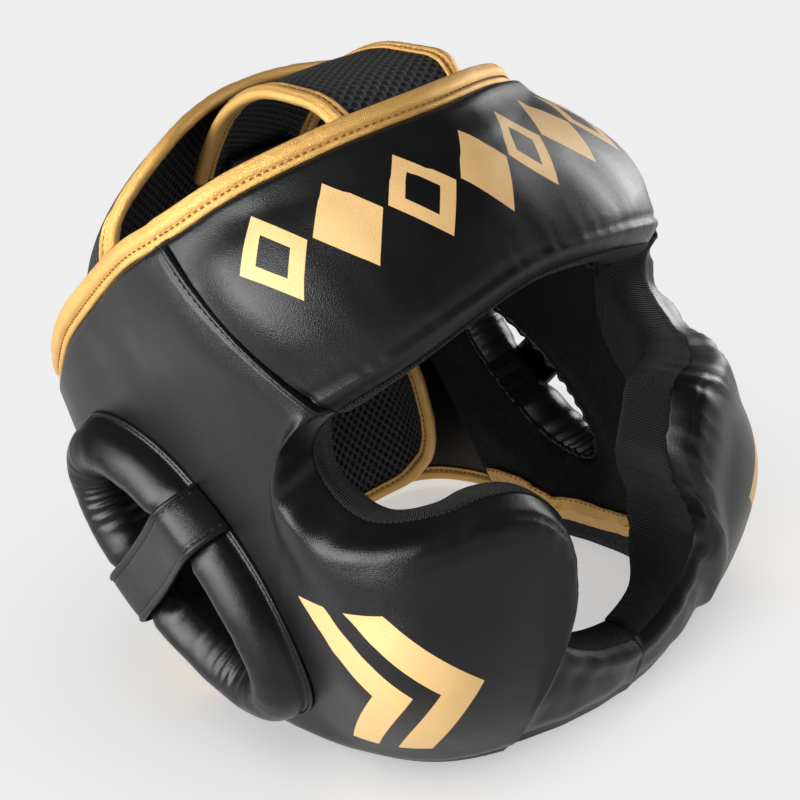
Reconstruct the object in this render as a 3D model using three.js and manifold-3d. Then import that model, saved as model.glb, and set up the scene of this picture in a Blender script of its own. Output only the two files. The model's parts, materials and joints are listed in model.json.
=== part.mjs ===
// Padded sparring head guard with cheek pads and a chin bar, open at the face, ears, crown and neck.
// Millimetres, +Z up, front faces -Y, wearer's left is +X. The lower rim stands on z = 0.
import * as THREE from 'three';
import Module from 'manifold-3d';

// Driving sizes
const GAP = 0.3;                 // clearance between neighbouring pieces
const BIND_WIDTH = 12;           // visible width of the gold edge tape on the pads
const TAPE_WIDTH = 9;            // width of the tape on mesh panels
const TAPE = 1.6;                // thickness of a folded tape leg
const TOP_EDGE = 9;              // pad thickness where the tape holds it
const TOP_REBATE = 2.6;          // how far the pad drops under the tape
const PAD_SIDE = 24;             // side pad thickness
const PAD_BROW = 27;             // forehead pad thickness
const RIM_RISE = 20;             // height of the inner lower edge above the floor
const REST_WIDTH = 9;            // width of the flat band the rim stands on
const LINING = 2.2;              // lining thickness
const LINING_LEATHER = 9;        // depth of leather turned over the opening edge
const MESH = 3;                  // spacer mesh thickness
const EAR_Y = 28;                // ear ring centre
const EAR_Z = 85;
const EAR_LEAN = 43;             // lean of the long axis, degrees up from the rear
const EAR_LONG = 67;             // half axes of the ring's tube line
const EAR_SHORT = 34;
const EAR_TUBE = 13;             // half width of the tube
const EAR_PROUD = 18;            // height of the tube over the pad
const EAR_DEPTH = -18;           // how far the ring's sleeve runs into the hole
const SLEEVE = 2.4;              // sleeve thickness
const STRAP_WIDTH = 26;          // strap across the ear
const STRAP = 2.2;
const STRAP_UP = 8;              // strap's shift along the ring's long axis
const STRAP_LEAN = 0.18;
const WING = 3;                  // closing wing thickness
const SNUG = 0.35;               // extra room inside a tape on a curved edge

// Outer form by height: half width, reach to the front, and squareness of the front
const FORM = [
  { z: 0, half: 101.0, front: 116.0, square: 2.10 },
  { z: 27, half: 104.5, front: 126.0, square: 2.35 },
  { z: 52, half: 105.5, front: 129.0, square: 2.65 },
  { z: 90, half: 106.0, front: 131.0, square: 2.95 },
  { z: 124, half: 106.0, front: 128.5, square: 3.05 },
  { z: 150, half: 106.0, front: 127.0, square: 2.90 },
  { z: 170, half: 106.5, front: 125.5, square: 2.60 },
  { z: 195, half: 108.0, front: 121.0, square: 2.55 },
  { z: 215, half: 107.5, front: 111.0, square: 2.50 },
  { z: 237, half: 102.0, front: 97.0, square: 2.35 },
  { z: 275, half: 90.0, front: 73.0, square: 2.20 },
];
const CHEEK = { turn: 44, z: 62, rise: 20, spread: 19, tall: 50 };   // swell of the cheek
const REAR_REACH = 146;
const REAR_SQUARE = 5.6;
const REAR_FLARE = 0.02;         // how much the sides spread towards the rear
const REAR_TOP = 140.5;          // turn and height of the side pad's rear corner
const REAR_TOP_Z = 161;
const REAR_FOOT = 119;

// Side pad: one row per section, upper edge (turn, height), foot turn and outward lift
const SIDE_TOP = [
  { turn: REAR_TOP, z: REAR_TOP_Z, foot: REAR_FOOT, lift: 0.0 },
  { turn: 125.5, z: 190, foot: 117.5, lift: 0.0 },
  { turn: 108.5, z: 212, foot: 115.5, lift: 0.0 },
  { turn: 93, z: 228, foot: 113.0, lift: 0.0 },
  { turn: 78, z: 239, foot: 110.5, lift: 0.0 },
  { turn: 62, z: 203, foot: 107.5, lift: 1.5 },
  { turn: 45.6, z: 167.5, foot: 104.5, lift: 3.0 },
];
const SEAM_ROW = 4;              // row of the upper end of the temple seam
const SIDE_FACE = [
  { turn: 45.6, z: 167.5, foot: 104.5, lift: 4.0 },
  { turn: 50.8, z: 156, foot: 99.0, lift: 6.5 },
  { turn: 51.2, z: 142, foot: 92.0, lift: 6.5 },
  { turn: 45.1, z: 125, foot: 78.0, lift: 4.5 },
  { turn: 32.9, z: 122.5, foot: 65.0, lift: 3.5 },
  { turn: 24.2, z: 122.5, foot: 57.0, lift: 3.5 },
  { turn: 16.8, z: 117, foot: 50.0, lift: 3.5 },
  { turn: 11.9, z: 104, foot: 45.0, lift: 3.5 },
  { turn: 10.9, z: 90, foot: 41.0, lift: 3.5 },
  { turn: 12.8, z: 72, foot: 37.0, lift: 3.0 },
  { turn: 17.4, z: 54, foot: 33.0, lift: 1.5 },
  { turn: 15.6, z: 45, foot: 29.0, lift: -3.5 },
  { turn: 9.5, z: 35, foot: 18.0, lift: -3.0 },
  { turn: 0.08, z: 28, foot: 0.08, lift: -2.5 },
];

// Forehead pad, half: upper edge and brow edge by section from the seam to the middle
const BROW = [
  { turn: 78, z: 239, low: 45.6, lowZ: 167.5 },
  { turn: 57, z: 253, low: 34.5, lowZ: 176 },
  { turn: 29, z: 262, low: 18, lowZ: 186.5 },
  { turn: 0, z: 265, low: 0, lowZ: 192 },
];

// Crown panel by section from the forehead to the tail: place, height, half width, droop at the sides
const CROWN = [
  { y: -56, z: 264, half: 33, droop: 2 },
  { y: -38, z: 267.5, half: 32.5, droop: 2 },
  { y: -18, z: 268.5, half: 32, droop: 2 },
  { y: 2, z: 265.5, half: 31.5, droop: 3 },
  { y: 22, z: 257, half: 31, droop: 3 },
  { y: 41, z: 245, half: 31, droop: 4 },
  { y: 57, z: 233, half: 30, droop: 4 },
];
const CROWN_SPREAD = 24;         // turn of the crown panel's front corners inside the forehead pad

// Rear panel, half: front arch and low edge by section from the side to the middle, with its bulge
const REAR = [
  { x: 92, y: 47, z: 203, lowTurn: 140, lowZ: 154, bulge: 2 },
  { x: 85, y: 32, z: 231, lowTurn: 148, lowZ: 136, bulge: 13 },
  { x: 60, y: 25, z: 252, lowTurn: 158, lowZ: 123, bulge: 26 },
  { x: 29, y: 32, z: 263, lowTurn: 169, lowZ: 120, bulge: 33 },
  { x: 0, y: 37, z: 266, lowTurn: 180, lowZ: 120, bulge: 35 },
];
const REAR_DEPTH = 18.6;         // depth of the rear panel's low edge under the form

// Closing wings by section from the pad's rear edge to the free end: share of the turn, depth, edges
const WING_RIGHT = [
  { turn: 0, depth: 9, low: 6, top: 143 },
  { turn: 0.14, depth: 9, low: 8, top: 137 },
  { turn: 0.34, depth: 9, low: 10, top: 129 },
  { turn: 0.56, depth: 9, low: 11, top: 125 },
  { turn: 0.78, depth: 15, low: 12, top: 115 },
  { turn: 0.91, depth: 23, low: 14, top: 112 },
  { turn: 0.965, depth: 26, low: 20, top: 106 },
  { turn: 1, depth: 27, low: 42, top: 84 },
];
const WING_LEFT = [
  { turn: 0, depth: 3, low: 6, top: 143 },
  { turn: 0.3, depth: 2.1, low: 8, top: 137 },
  { turn: 0.62, depth: 2.1, low: 10, top: 128 },
  { turn: 0.84, depth: 2.1, low: 14, top: 122 },
  { turn: 0.95, depth: 2.1, low: 22, top: 114 },
  { turn: 1, depth: 2.1, low: 42, top: 94 },
];
const WING_RIGHT_END = 223;      // turn of the right wing's free end, past the middle of the back
const WING_LEFT_END = 203;
const PATCH = 2;                 // hook and loop patch between the wings
const PATCH_DEPTH = 5.6;
const TAB_WIDTH = 34;            // tab at the crown panel's tail
const TAB = 2.4;

const MIDDLE = 5.3;              // how far the guard's middle lies behind the form's axis
const RAD = Math.PI / 180;

// Smooth value between rows, all columns at once
function along(rows, t) {
  const last = rows.length - 1;
  const i = Math.min(Math.floor(t), last - 1);
  const f = t - i;
  const out = {};
  for (const key of Object.keys(rows[0])) {
    const a = rows[Math.max(i - 1, 0)][key];
    const b = rows[i][key];
    const c = rows[i + 1][key];
    const d = rows[Math.min(i + 2, last)][key];
    const bend = (2 * a - 5 * b + 4 * c - d) * f * f;
    const twist = (3 * b - a - 3 * c + d) * f * f * f;
    out[key] = b + 0.5 * ((c - a) * f + bend + twist);
  }
  return out;
}

// Value from rows keyed by height
function byHeight(rows, z) {
  const last = rows.length - 1;
  let i = 0;
  while (i < last - 1 && z > rows[i + 1].z) {
    i += 1;
  }
  const f = (z - rows[i].z) / (rows[i + 1].z - rows[i].z);
  return along(rows, i + Math.min(Math.max(f, 0), 1));
}

function smooth(x) {
  const t = Math.min(Math.max(x, 0), 1);
  return t * t * (3 - 2 * t);
}

// Swell of the cheek pad over the form
function cheek(turn, z) {
  const a = (Math.abs(turn) - CHEEK.turn) / CHEEK.spread;
  const b = (z - CHEEK.z) / CHEEK.tall;
  return CHEEK.rise * Math.exp(-a * a - b * b);
}

// Point of the outer form at a turn (degrees from the front) and a height
function form(turn, z) {
  const row = byHeight(FORM, z);
  const s = Math.sin(turn * RAD);
  const c = Math.cos(turn * RAD);
  const reach = c > 0 ? row.front : REAR_REACH;
  const blend = smooth((-c - 0.05) / 0.3);
  const n = row.square + (REAR_SQUARE - row.square) * blend;
  const half = row.half * (1 + REAR_FLARE * smooth((-c - 0.1) / 0.5));
  const sum = Math.abs(s / half) ** n + Math.abs(c / reach) ** n;
  const r = sum ** (-1 / n) + cheek(turn, z);
  return new THREE.Vector3(r * s, -r * c, z);
}

// Point at a distance out from the form
function at(turn, z, off) {
  const p = form(turn, z);
  const a = form(turn + 0.5, z).sub(form(turn - 0.5, z));
  const b = form(turn, z + 1).sub(form(turn, z - 1));
  const n = a.cross(b).normalize();
  return p.addScaledVector(n, off);
}

// Turn of the form's side at a given place
function turnAt(y, z) {
  let low = 20;
  let high = 170;
  for (let i = 0; i < 30; i += 1) {
    const mid = (low + high) / 2;
    if (form(mid, z).y < y) {
      low = mid;
    } else {
      high = mid;
    }
  }
  return (low + high) / 2;
}

// Closed solid between two grids of points
function slab(outer, inner, loop = false) {
  const rows = outer.length;
  const cols = outer[0].length;
  const points = [];
  for (const grid of [outer, inner]) {
    for (const row of grid) {
      for (const p of row) {
        points.push(p.x, p.y, p.z);
      }
    }
  }
  const index = [];
  const id = (side, j, k) => side * rows * cols + (j % rows) * cols + k;
  const quad = (a, b, c, d) => index.push(a, b, c, a, c, d);
  const spans = loop ? rows : rows - 1;
  for (let j = 0; j < spans; j += 1) {
    for (let k = 0; k < cols - 1; k += 1) {
      quad(id(0, j, k), id(0, j + 1, k), id(0, j + 1, k + 1), id(0, j, k + 1));
      quad(id(1, j, k), id(1, j, k + 1), id(1, j + 1, k + 1), id(1, j + 1, k));
    }
    quad(id(0, j, 0), id(1, j, 0), id(1, j + 1, 0), id(0, j + 1, 0));
    quad(id(0, j, cols - 1), id(0, j + 1, cols - 1), id(1, j + 1, cols - 1), id(1, j, cols - 1));
  }
  if (!loop) {
    for (let k = 0; k < cols - 1; k += 1) {
      quad(id(0, 0, k), id(0, 0, k + 1), id(1, 0, k + 1), id(1, 0, k));
      const j = rows - 1;
      quad(id(0, j, k), id(1, j, k), id(1, j, k + 1), id(0, j, k + 1));
    }
  }
  let volume = 0;
  const v = (i) => new THREE.Vector3(points[3 * i], points[3 * i + 1], points[3 * i + 2]);
  for (let i = 0; i < index.length; i += 3) {
    volume += v(index[i]).dot(v(index[i + 1]).cross(v(index[i + 2])));
  }
  if (volume < 0) {
    index.reverse();
  }
  const geometry = new THREE.BufferGeometry();
  geometry.setAttribute('position', new THREE.Float32BufferAttribute(points, 3));
  geometry.setIndex(index);
  return geometry;
}

function mirror(p, side) {
  return new THREE.Vector3(p.x * side, p.y, p.z);
}

// Sections of a side pad: the line of turn and height from the upper edge to the foot
function sideSection(part, t) {
  const row = along(part === 'top' ? SIDE_TOP : SIDE_FACE, t);
  const seam = part === 'top' && t >= SEAM_ROW;
  if (seam) {
    const a = SIDE_TOP[SEAM_ROW];
    const b = SIDE_FACE[0];
    const f = (t - SEAM_ROW) / 2;
    row.turn = a.turn + (b.turn - a.turn) * f;
    row.z = a.z + (b.z - a.z) * f;
  }
  const steps = 16;
  let length = 0;
  let old = form(row.turn, row.z);
  for (let i = 1; i <= steps; i += 1) {
    const f = i / steps;
    const p = form(row.turn + (row.foot - row.turn) * f, row.z * (1 - f));
    length += p.distanceTo(old);
    old = p;
  }
  const place = (d) => {
    const f = d / length;
    return { turn: row.turn + (row.foot - row.turn) * f, z: Math.max(row.z * (1 - f), 0) };
  };
  return { row, length, place, seam, opening: part === 'face' };
}

// Points of the upper edge, and the distance of a place on the form from it
const EDGE = [];
for (let i = 0; i <= 48; i += 1) {
  const row = along(SIDE_TOP, (i / 48) * SEAM_ROW);
  EDGE.push(form(row.turn, row.z));
}
for (let i = 1; i <= 36; i += 1) {
  const row = along(BROW, (i / 36) * 3);
  EDGE.push(form(row.turn, row.z));
}

function fromEdge(turn, z) {
  const p = form(turn, z);
  return Math.min(...EDGE.map((q) => q.distanceTo(p)));
}

function rebate(e) {
  return TOP_REBATE * (1 - smooth((e - BIND_WIDTH - 3) / 9));
}

function swell(e, full) {
  return TOP_EDGE + (full - TOP_EDGE) * smooth((e - BIND_WIDTH - 5) / 28);
}

// Outward offset of the side pad's skin at a distance from its upper edge
function sideSkin(section, d) {
  const { row, length, seam, opening, place } = section;
  const { turn, z } = place(d);
  const near = row.lift < 0 ? 1 : 1 - smooth((d - 18) / 26);
  let off = row.lift * smooth(d / 14) * near;
  off -= rebate(fromEdge(turn, z));
  if (seam) {
    off -= 4.5 * (1 - Math.min(d / 9, 1)) ** 2 * smooth((fromEdge(turn, z) - BIND_WIDTH) / 8);
  }
  if (opening) {
    const band = row.lift < 0 ? 0 : 5;
    off -= 4 * (1 - Math.min(d / 6, 1)) ** 2 + band * (1 - smooth((d - 4) / 17));
    off += row.lift < 0 ? 0 : 1.6 * Math.exp(-(((d - 25) / 7) ** 2));
  }
  off -= 6 * (1 - Math.min((length - d) / 14, 1)) ** 2;
  return off;
}

function sideDepth(section, d) {
  const { length, place } = section;
  const { turn, z } = place(d);
  const slim = section.row.lift < 0 ? 21 : PAD_SIDE;
  const thick = swell(fromEdge(turn, z), slim) - 2 * smooth((d - length + 30) / 30);
  return thick + 0.7 * cheek(turn, z) * smooth(d / 30);
}

// Stations along the side pad from its rear edge to the chin seam
function sideStations() {
  const list = [['top', 0], ['top', 0.25]];
  for (let i = 1; i <= 8; i += 1) {
    list.push(['top', i / 2]);
  }
  list.push(['top', 4.2], ['top', 4.5], ['top', 5.2], ['top', 6]);
  const face = [0.5, 1, 1.5, 2, 2.5, 3, 4, 5, 6, 6.5, 7, 7.5, 8, 9, 10, 10.5, 11, 12, 13];
  for (const t of face) {
    list.push(['face', t]);
  }
  return list.map(([part, t]) => sideSection(part, t));
}

function sidePad(side) {
  const outer = [];
  const inner = [];
  for (const section of sideStations()) {
    const { length, place } = section;
    const rise = Math.min(RIM_RISE, 0.55 * length);
    const tail = length - 18;
    const scale = Math.min(1, (tail * 0.72) / 32);
    const dists = [0, 4 * scale, 18 * scale, 32 * scale];
    for (const f of [0.5, 1]) {
      dists.push(32 * scale + (tail - 32 * scale) * f);
    }
    dists.push(length - 6, length);
    const o = [];
    const n = [];
    for (const d of dists) {
      const { turn, z } = place(d);
      o.push(at(turn, z, sideSkin(section, d)));
      const lifted = place(d * ((length - rise) / length));
      n.push(at(lifted.turn, lifted.z, -sideDepth(section, d * ((length - rise) / length))));
    }
    const last = o.length - 1;
    const foot = place(length);
    o[last].z = 0;
    const band = at(foot.turn, 0, sideSkin(section, length) - REST_WIDTH);
    band.z = 0;
    o.push(band);
    n.push(n[last].clone().lerp(band, 0.12));
    outer.push(o.map((p) => mirror(p, side)));
    inner.push(n.map((p) => mirror(p, side)));
  }
  return slab(outer, inner);
}

// Forehead pad
function browSection(t) {
  const flip = t > 3 ? -1 : 1;
  const row = along(BROW, t > 3 ? 6 - t : t);
  const steps = 10;
  let length = 0;
  let old = form(row.turn, row.z);
  for (let i = 1; i <= steps; i += 1) {
    const f = i / steps;
    const p = form(row.turn + (row.low - row.turn) * f, row.z + (row.lowZ - row.z) * f);
    length += p.distanceTo(old);
    old = p;
  }
  const trim = 0.5 * Math.max(1 - Math.min(t, 6 - t) / 0.01, 0);
  const place = (d) => {
    const f = d / length;
    return { turn: row.turn - trim + (row.low - row.turn) * f, z: row.z + (row.lowZ - row.z) * f };
  };
  const edge = Math.min(t, 6 - t);
  return { length, place, flip, edge };
}

function browSkin(section, d) {
  const { length, edge, place } = section;
  const { turn, z } = place(d);
  const e = fromEdge(turn, z);
  let off = -rebate(e);
  off += 5 * Math.sin(Math.PI * Math.min(d / length, 1)) ** 2 * smooth(edge / 0.5) * smooth((e - 14) / 22);
  off -= 4.5 * smooth((e - BIND_WIDTH) / 8) * (1 - smooth(edge / 0.2));
  off -= 4 * (1 - Math.min((length - d) / 6, 1)) ** 2;
  return off;
}

function browDepth(section, d) {
  const { turn, z } = section.place(d);
  return swell(fromEdge(turn, z), PAD_BROW);
}

function browStations() {
  const list = [0, 0.1, 0.3];
  for (let i = 2; i <= 16; i += 1) {
    list.push(i / 3);
  }
  list.push(5.7, 5.9, 6);
  return list.map(browSection);
}

function browPad() {
  const outer = [];
  const inner = [];
  for (const section of browStations()) {
    const { length, place, flip } = section;
    const o = [];
    const n = [];
    for (const d of [0, 14, 24, 0.45 * length, 0.68 * length, length - 10, length - 3.5, length]) {
      const { turn, z } = place(d);
      o.push(mirror(at(turn, z, browSkin(section, d)), flip));
      n.push(mirror(at(turn, z, -browDepth(section, d)), flip));
    }
    outer.push(o);
    inner.push(n);
  }
  return slab(outer, inner);
}

// Lining: folds over the opening edge and runs in along the pad's inner face
function liningStrip(sections, marks, skin, depth, side) {
  const outer = [];
  const inner = [];
  for (const section of sections) {
    const { place } = section;
    const flip = section.flip ?? side;
    const dists = marks(section);
    const start = dists[0];
    const sign = dists[1] > start ? 1 : -1;
    const spot = (d, off) => {
      const q = place(d);
      return mirror(at(q.turn, q.z, off), flip);
    };
    const lip = skin(section, start) - LINING_LEATHER + 4;
    const room = GAP + SNUG;
    const o = [spot(start - sign * (room + LINING), lip)];
    const n = [spot(start - sign * room, lip)];
    dists.forEach((d, i) => {
      const base = -depth(section, d) - room;
      o.push(spot(i === 0 ? d - sign * (room + LINING) : d, base - LINING));
      n.push(spot(i === 0 ? d - sign * room : d, base));
    });
    outer.push(o);
    inner.push(n);
  }
  return slab(outer, inner);
}

function sideMarks(section) {
  const { length } = section;
  const rise = Math.min(RIM_RISE, 0.55 * length);
  const scale = Math.min(1, ((length - 18) * 0.72) / 32);
  const share = (length - rise) / length;
  return [0, 4 * scale * share, 18 * scale * share, 32 * scale * share];
}

function browMarks(section) {
  const { length } = section;
  return [length, length - 3.5, length - 10, 0.68 * length];
}

// Tape folded round an edge: rows of edge point, direction into the panel and panel normal
function tape(rows, width, half, loop = false) {
  const outer = [];
  const inner = [];
  const near = half + GAP;
  const far = near + TAPE;
  for (const { p, into, normal } of rows) {
    const spot = (d, n) => p.clone().addScaledVector(into, d).addScaledVector(normal, n);
    const fold = -GAP - 2 * SNUG;
    const back = fold - TAPE;
    outer.push([spot(width, far), spot(back, far), spot(back, -far), spot(width, -far)]);
    inner.push([spot(width, near), spot(fold, near), spot(fold, -near), spot(width, -near)]);
  }
  return slab(outer, inner, loop);
}

// Rows of the tape on the upper edge, at the pads' own sections
function topEdge() {
  const right = sideStations().slice(0, 10);
  const list = right.map((section) => ({ place: section.place, flip: -1 }));
  for (const section of browStations().slice(1, -1)) {
    list.push({ place: section.place, flip: -section.flip });
  }
  for (const section of right.slice().reverse()) {
    list.push({ place: section.place, flip: 1 });
  }
  const mid = -(TOP_EDGE + TOP_REBATE) / 2;
  const spots = list.map(({ place, flip }) => {
    const q = place(0);
    return mirror(at(q.turn, q.z, mid), flip);
  });
  return list.map(({ place, flip }, i) => {
    const q = place(0);
    const normal = mirror(at(q.turn, q.z, 0), flip).sub(spots[i]).normalize();
    const next = spots[Math.min(i + 1, spots.length - 1)];
    const prior = spots[Math.max(i - 1, 0)];
    const run = next.clone().sub(prior).normalize();
    const into = run.cross(normal).normalize();
    if (into.z > 0) {
      into.negate();
    }
    return { p: spots[i], into, normal };
  });
}

// Ear ring on a local grid: p along the long axis, q across it
function earSpot(p, q, off, side) {
  const c = Math.cos(EAR_LEAN * RAD);
  const s = Math.sin(EAR_LEAN * RAD);
  const y = EAR_Y + p * c + q * s;
  const z = EAR_Z + p * s - q * c;
  return mirror(at(turnAt(y, z), z, off), side);
}

function earLine(angle, w) {
  const c = Math.cos(angle);
  const s = Math.sin(angle);
  const nx = c / EAR_LONG;
  const ny = s / EAR_SHORT;
  const len = Math.hypot(nx, ny);
  return [EAR_LONG * c + (w * nx) / len, EAR_SHORT * s + (w * ny) / len];
}

function earAngle(i, count) {
  const a = (i / count) * 2 * Math.PI;
  return a - 0.22 * Math.sin(2 * a);
}

function earRing(side) {
  const count = 22;
  const w = EAR_TUBE;
  const h = EAR_PROUD;
  const seat = 1.9;
  const skin = [[w, seat + 2], [w - 1.5, 10], [w - 8, h], [6 - w, h - 2], [-w, 6], [-w, EAR_DEPTH]];
  const core = [[w, seat], [w - 7, seat], [1, seat], [-5, seat], [SLEEVE - w, seat], [SLEEVE - w, EAR_DEPTH]];
  const ring = (profile) => {
    const rows = [];
    for (let i = 0; i < count; i += 1) {
      const angle = earAngle(i, count);
      rows.push(profile.map(([d, off]) => {
        const [p, q] = earLine(angle, d);
        return earSpot(p, q, off, side);
      }));
    }
    return rows;
  };
  return slab(ring(skin), ring(core), true);
}

function earStrap(side) {
  const s = EAR_SHORT;
  const w = EAR_TUBE;
  const h = EAR_PROUD + 0.7;
  const path = [[s + w + 1, 2.2], [s + w, 10], [s + w - 7.2, h], [s - w + 6, h + 0.3], [0, h + 0.5]];
  const full = path.concat(path.slice(0, -1).reverse().map(([q, off]) => [-q, off]));
  const outer = [];
  const inner = [];
  for (let i = 0; i <= 2; i += 1) {
    const low = [];
    const high = [];
    full.forEach(([q, off], k) => {
      const a = full[Math.max(k - 1, 0)];
      const b = full[Math.min(k + 1, full.length - 1)];
      const len = Math.hypot(b[0] - a[0], b[1] - a[1]);
      const nq = (b[1] - a[1]) / len;
      const no = (a[0] - b[0]) / len;
      const p = (i / 2 - 0.5) * STRAP_WIDTH + STRAP_UP + STRAP_LEAN * q;
      const narrow = s * (1 - Math.sqrt(1 - (p / EAR_LONG) ** 2));
      const real = q - narrow * (q / (s + w));
      low.push(earSpot(p, real, off, side));
      high.push(earSpot(p, real + nq * STRAP, off + no * STRAP, side));
    });
    outer.push(high);
    inner.push(low);
  }
  return slab(outer, inner);
}

// Panel of even thickness from a grid of middle points
function gridNormals(grid) {
  return grid.map((row, j) => row.map((p, k) => {
    const up = grid[Math.min(j + 1, grid.length - 1)][k].clone().sub(grid[Math.max(j - 1, 0)][k]);
    const over = row[Math.min(k + 1, row.length - 1)].clone().sub(row[Math.max(k - 1, 0)]);
    const n = up.cross(over).normalize();
    const away = new THREE.Vector3(p.x, p.y, p.z - 100);
    return n.dot(away) < 0 ? n.negate() : n;
  }));
}

function panel(grid, thick) {
  const normals = gridNormals(grid);
  const shift = (d) => grid.map((row, j) => row.map((p, k) => p.clone().addScaledVector(normals[j][k], d)));
  return slab(shift(thick / 2), shift(-thick / 2));
}

// Tape rows along one border of a panel grid
function border(grid, side, from = 0, to = 1) {
  const normals = gridNormals(grid);
  const rows = [];
  const last = grid.length - 1;
  const edge = grid[0].length - 1;
  const across = side === 'first' || side === 'last';
  const count = across ? edge : last;
  for (let i = Math.round(from * count); i <= Math.round(to * count); i += 1) {
    let j = i;
    let k = side === 'low' ? 0 : edge;
    let jn = i;
    let kn = side === 'low' ? 1 : edge - 1;
    if (across) {
      j = side === 'first' ? 0 : last;
      k = i;
      jn = side === 'first' ? 1 : last - 1;
      kn = i;
    }
    const p = grid[j][k];
    const into = grid[jn][kn].clone().sub(p).normalize();
    rows.push({ p: p.clone(), into, normal: normals[j][k] });
  }
  return rows;
}

function crownGrid() {
  const grid = [];
  const depth = TOP_EDGE + TAPE + 4 * GAP + 4 * SNUG + MESH / 2;
  for (const z of [252, 259]) {
    const line = [];
    for (let k = 0; k <= 6; k += 1) {
      const f = k / 3 - 1;
      line.push(mirror(at(Math.abs(f) * CROWN_SPREAD, z - 2.5 * f * f, -depth), f < 0 ? -1 : 1));
    }
    grid.push(line);
  }
  for (let i = 0; i <= 8; i += 1) {
    const row = along(CROWN, (i / 8) * 6);
    const line = [];
    for (let k = 0; k <= 6; k += 1) {
      const f = k / 3 - 1;
      line.push(new THREE.Vector3(row.half * f, row.y, row.z - row.droop * f * f));
    }
    grid.push(line);
  }
  return grid;
}

function rearGrid() {
  const grid = [];
  for (let i = 0; i <= 10; i += 1) {
    const t = (i / 10) * 8;
    const flip = t > 4 ? 1 : -1;
    const row = along(REAR, t > 4 ? 8 - t : t);
    const line = [];
    for (let k = 0; k <= 6; k += 1) {
      const f = k / 6;
      const top = new THREE.Vector3(row.x, row.y, row.z);
      const low = at(row.lowTurn, row.lowZ, -REAR_DEPTH);
      const mid = top.clone().lerp(low, f);
      const out = new THREE.Vector3(mid.x * 0.6, mid.y, (mid.z - 110) * 0.8).normalize();
      mid.addScaledVector(out, row.bulge * Math.sin(Math.PI * f));
      line.push(mirror(mid, flip));
    }
    grid.push(line);
  }
  return grid;
}

// Place on a wing: turn measured round the back from the pad's slanted rear edge
function wingSpot(share, end, z, depth, side) {
  const start = REAR_FOOT + ((REAR_TOP - REAR_FOOT) * z) / REAR_TOP_Z + 0.5;
  const turn = start + (end - start) * share;
  const p = turn > 180 ? mirror(at(360 - turn, z, -depth), -1) : at(turn, z, -depth);
  return mirror(p, side);
}

function wingGrid(rows, end, side) {
  const grid = [];
  const count = 13;
  const last = rows.length - 1;
  for (let i = 0; i <= count; i += 1) {
    const row = along(rows, (i / count) * last);
    const line = [];
    for (let k = 0; k <= 4; k += 1) {
      const z = row.low + ((row.top - row.low) * k) / 4;
      line.push(wingSpot(row.turn, end, z, row.depth, side));
    }
    grid.push(line);
  }
  return grid;
}

// Tape round a wing: along the top, round the free end, back along the bottom
function wingTape(grid) {
  const top = border(grid, 'high');
  const end = border(grid, 'last', 0, 1).reverse();
  const low = border(grid, 'low').reverse();
  const rows = top.slice(1, -1);
  const corner = (a, b) => {
    const into = a.into.clone().add(b.into).normalize();
    return { p: a.p.clone(), into, normal: a.normal };
  };
  rows.push(corner(top[top.length - 1], end[0]));
  rows.push(...end.slice(1, -1));
  rows.push(corner(end[end.length - 1], low[0]));
  rows.push(...low.slice(1, -1));
  return tape(rows, TAPE_WIDTH - 2, WING / 2 + 3.3 * SNUG);
}

// Binding on the inner lower edge of a side pad
function rimTape(side) {
  const outer = [];
  const inner = [];
  const stations = sideStations().slice(1, -7);
  for (const section of stations) {
    const { length, place } = section;
    const rise = Math.min(RIM_RISE, 0.55 * length);
    const d = length - rise;
    const edge = place(d);
    const corner = at(edge.turn, edge.z, -sideDepth(section, d));
    const band = at(place(length).turn, 0, sideSkin(section, length) - REST_WIDTH);
    band.z = 0;
    const upper = place(d - 9);
    const wall = at(upper.turn, upper.z, -sideDepth(section, d - 9));
    const up = wall.clone().sub(corner).normalize();
    const under = band.clone().sub(corner).normalize();
    const inward = corner.clone().sub(form(edge.turn, edge.z)).normalize();
    const side2 = inward.clone().addScaledVector(up, -inward.dot(up)).normalize();
    const down = inward.clone().addScaledVector(under, -inward.dot(under)).normalize();
    const a = corner.clone().addScaledVector(up, 8);
    const c = corner.clone().addScaledVector(under, 8);
    const bend = side2.clone().add(down).normalize();
    const push = (p, n, dist) => mirror(p.clone().addScaledVector(n, dist), side);
    outer.push([push(a, side2, 0.8 + TAPE), push(corner, bend, 1 + TAPE), push(c, down, 0.8 + TAPE)]);
    inner.push([push(a, side2, 0.8), push(corner, bend, 0.9), push(c, down, 0.8)]);
  }
  return slab(outer, inner);
}

const wasm = await Module();
wasm.setup();

// Cut one closed solid out of another
function cut(body, tool) {
  const load = (geometry) => {
    const vertProperties = new Float32Array(geometry.attributes.position.array);
    const triVerts = new Uint32Array(geometry.index.array);
    return new wasm.Manifold(new wasm.Mesh({ numProp: 3, vertProperties, triVerts }));
  };
  const mesh = load(body).subtract(load(tool)).getMesh();
  const geometry = new THREE.BufferGeometry();
  geometry.setAttribute('position', new THREE.Float32BufferAttribute(mesh.vertProperties, 3));
  geometry.setIndex(Array.from(mesh.triVerts));
  return geometry;
}

function earPlug(side) {
  const count = 22;
  const rows = [];
  const cores = [];
  const w = SLEEVE - EAR_TUBE + GAP;
  for (let i = 0; i <= 4; i += 1) {
    const off = 12 - i * 14;
    const row = [];
    const core = [];
    for (let k = 0; k <= count / 2; k += 1) {
      const angle = earAngle(k, count);
      const [p, q] = earLine(angle, w);
      row.push(earSpot(p, q, off, side));
      core.push(earSpot(p, -q - (k === 0 || k === count / 2 ? 0.05 : 0), off, side));
    }
    rows.push(row);
    cores.push(core);
  }
  return slab(rows, cores);
}

const root = new THREE.Group();
root.name = 'head_guard';

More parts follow.
